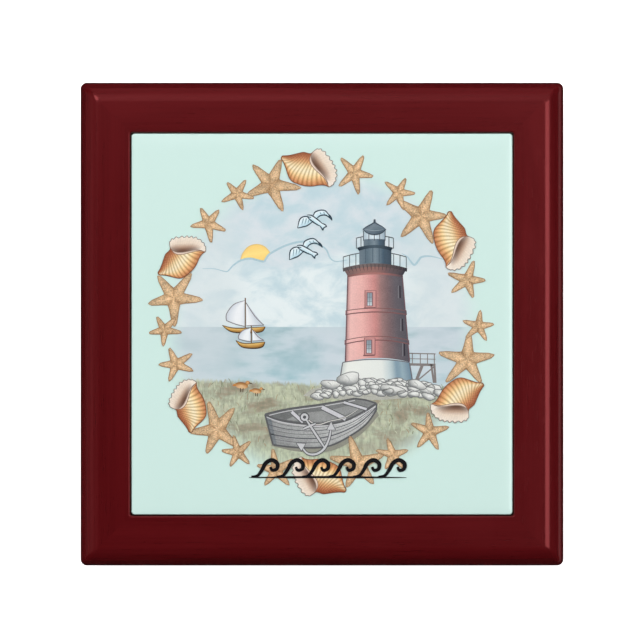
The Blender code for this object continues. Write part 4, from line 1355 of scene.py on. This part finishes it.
def make_stage():
    """A pale floor that glows softly for the camera and can be seen through from below."""
    bm = bmesh.new()
    bmesh.ops.create_grid(bm, x_segments=1, y_segments=1, size=3)
    floor = placed("floor", meshed("floor", bm))
    floor.location.z = -0.0003
    floor.visible_glossy = False
    made, s = new_material("pale_floor", {"Base Color": (0.85, 0.85, 0.85, 1), "Roughness": 0.9})
    matt = s.shader.outputs[0]
    seen = s.node("ShaderNodeLightPath").outputs["Is Camera Ray"]
    white = s.node("ShaderNodeEmission", {"Color": (1, 1, 1, 1), "Strength": 0.85}).outputs[0]
    both = s.node("ShaderNodeAddShader", {0: matt, 1: white}).outputs[0]
    mixed = s.node("ShaderNodeMixShader", {0: seen, 1: matt, 2: both}).outputs[0]
    below = s.node("ShaderNodeNewGeometry").outputs["Backfacing"]
    through = s.node("ShaderNodeBsdfTransparent").outputs[0]
    surface = s.node("ShaderNodeMixShader", {0: below, 1: mixed, 2: through}).outputs[0]
    s.feed(made.node_tree.nodes["Material Output"].inputs["Surface"], surface)
    floor.data.materials.append(made)


def make_lights():
    """Broad fills that the lacquer doesn't mirror, and cards that it does, in a dim world with a white backdrop."""
    world = bpy.data.worlds.new("studio")
    world.use_nodes = True
    s = Shade(world.node_tree)
    background = world.node_tree.nodes["Background"]
    seen = s.node("ShaderNodeLightPath").outputs["Is Camera Ray"]
    s.feed(background.inputs["Color"], (1, 1, 1, 1))
    s.feed(background.inputs["Strength"], s.math("MAXIMUM", seen, 0.01))
    bpy.context.scene.world = world
    area_light("back_fill", (0, 0.78, 1.38), 21.2, 2.6, 0.9, mirrored=False)
    area_light("left_fill", (-1.3, 0.2, 1.0), 8.0, 0.9, 1.2, mirrored=False)
    area_light("right_fill", (1.3, 0.2, 1.0), 7.0, 0.9, 1.2, mirrored=False)
    area_light("front_fill", (0, -0.9, 1.2), 2.6, 2.0, 0.9, mirrored=False)
    area_light("sky_card", (0, 0.86, 1.36), 1.6, 1.3, 1.44, aim=(0, 0.86, 0))
    area_light("back_card", (0, 1.5, 0.6), 0.8, 1.3, 1.1)
    area_light("left_wall_card", (-1.4, 0, 0.6), 0.5, 1.3, 1.1)
    area_light("left_card", (-0.90, 0, 1.25), 0.40, 1.2, 1.2)
    area_light("key", (0.43, 0.0, 1.06), 0.80, 0.46, 0.36)
    area_light("table_glow", (0.42, 0, 0.004), 0.26, 0.5, 0.5, aim=(0.42, 0, 1))
    area_light("window_glint", (-0.33, 0.40, 0.93), 0.42, 0.22, 0.34)


def make_camera():
    """Straight above the lid, with a long lens."""
    data = bpy.data.cameras.new("above")
    height, seen_width, toward_back = 1.3, 0.1831, 0.0006
    data.sensor_width = 36
    data.lens = data.sensor_width * height / seen_width
    camera = placed("above", data)
    camera.location = (0, toward_back, LID_TOP + height)
    bpy.context.scene.camera = camera


make_stage()
make_lights()
make_camera()
make_woodwork()
make_tile()
print_sky()
print_sailboats()
print_grass()
print_shorebirds()
print_lighthouse()
print_rocks()
print_rowboat()
print_wreath()
print_wave_border()
make_felt()
dress_cad_nodes()
bpy.context.scene.view_settings.view_transform = "Standard"
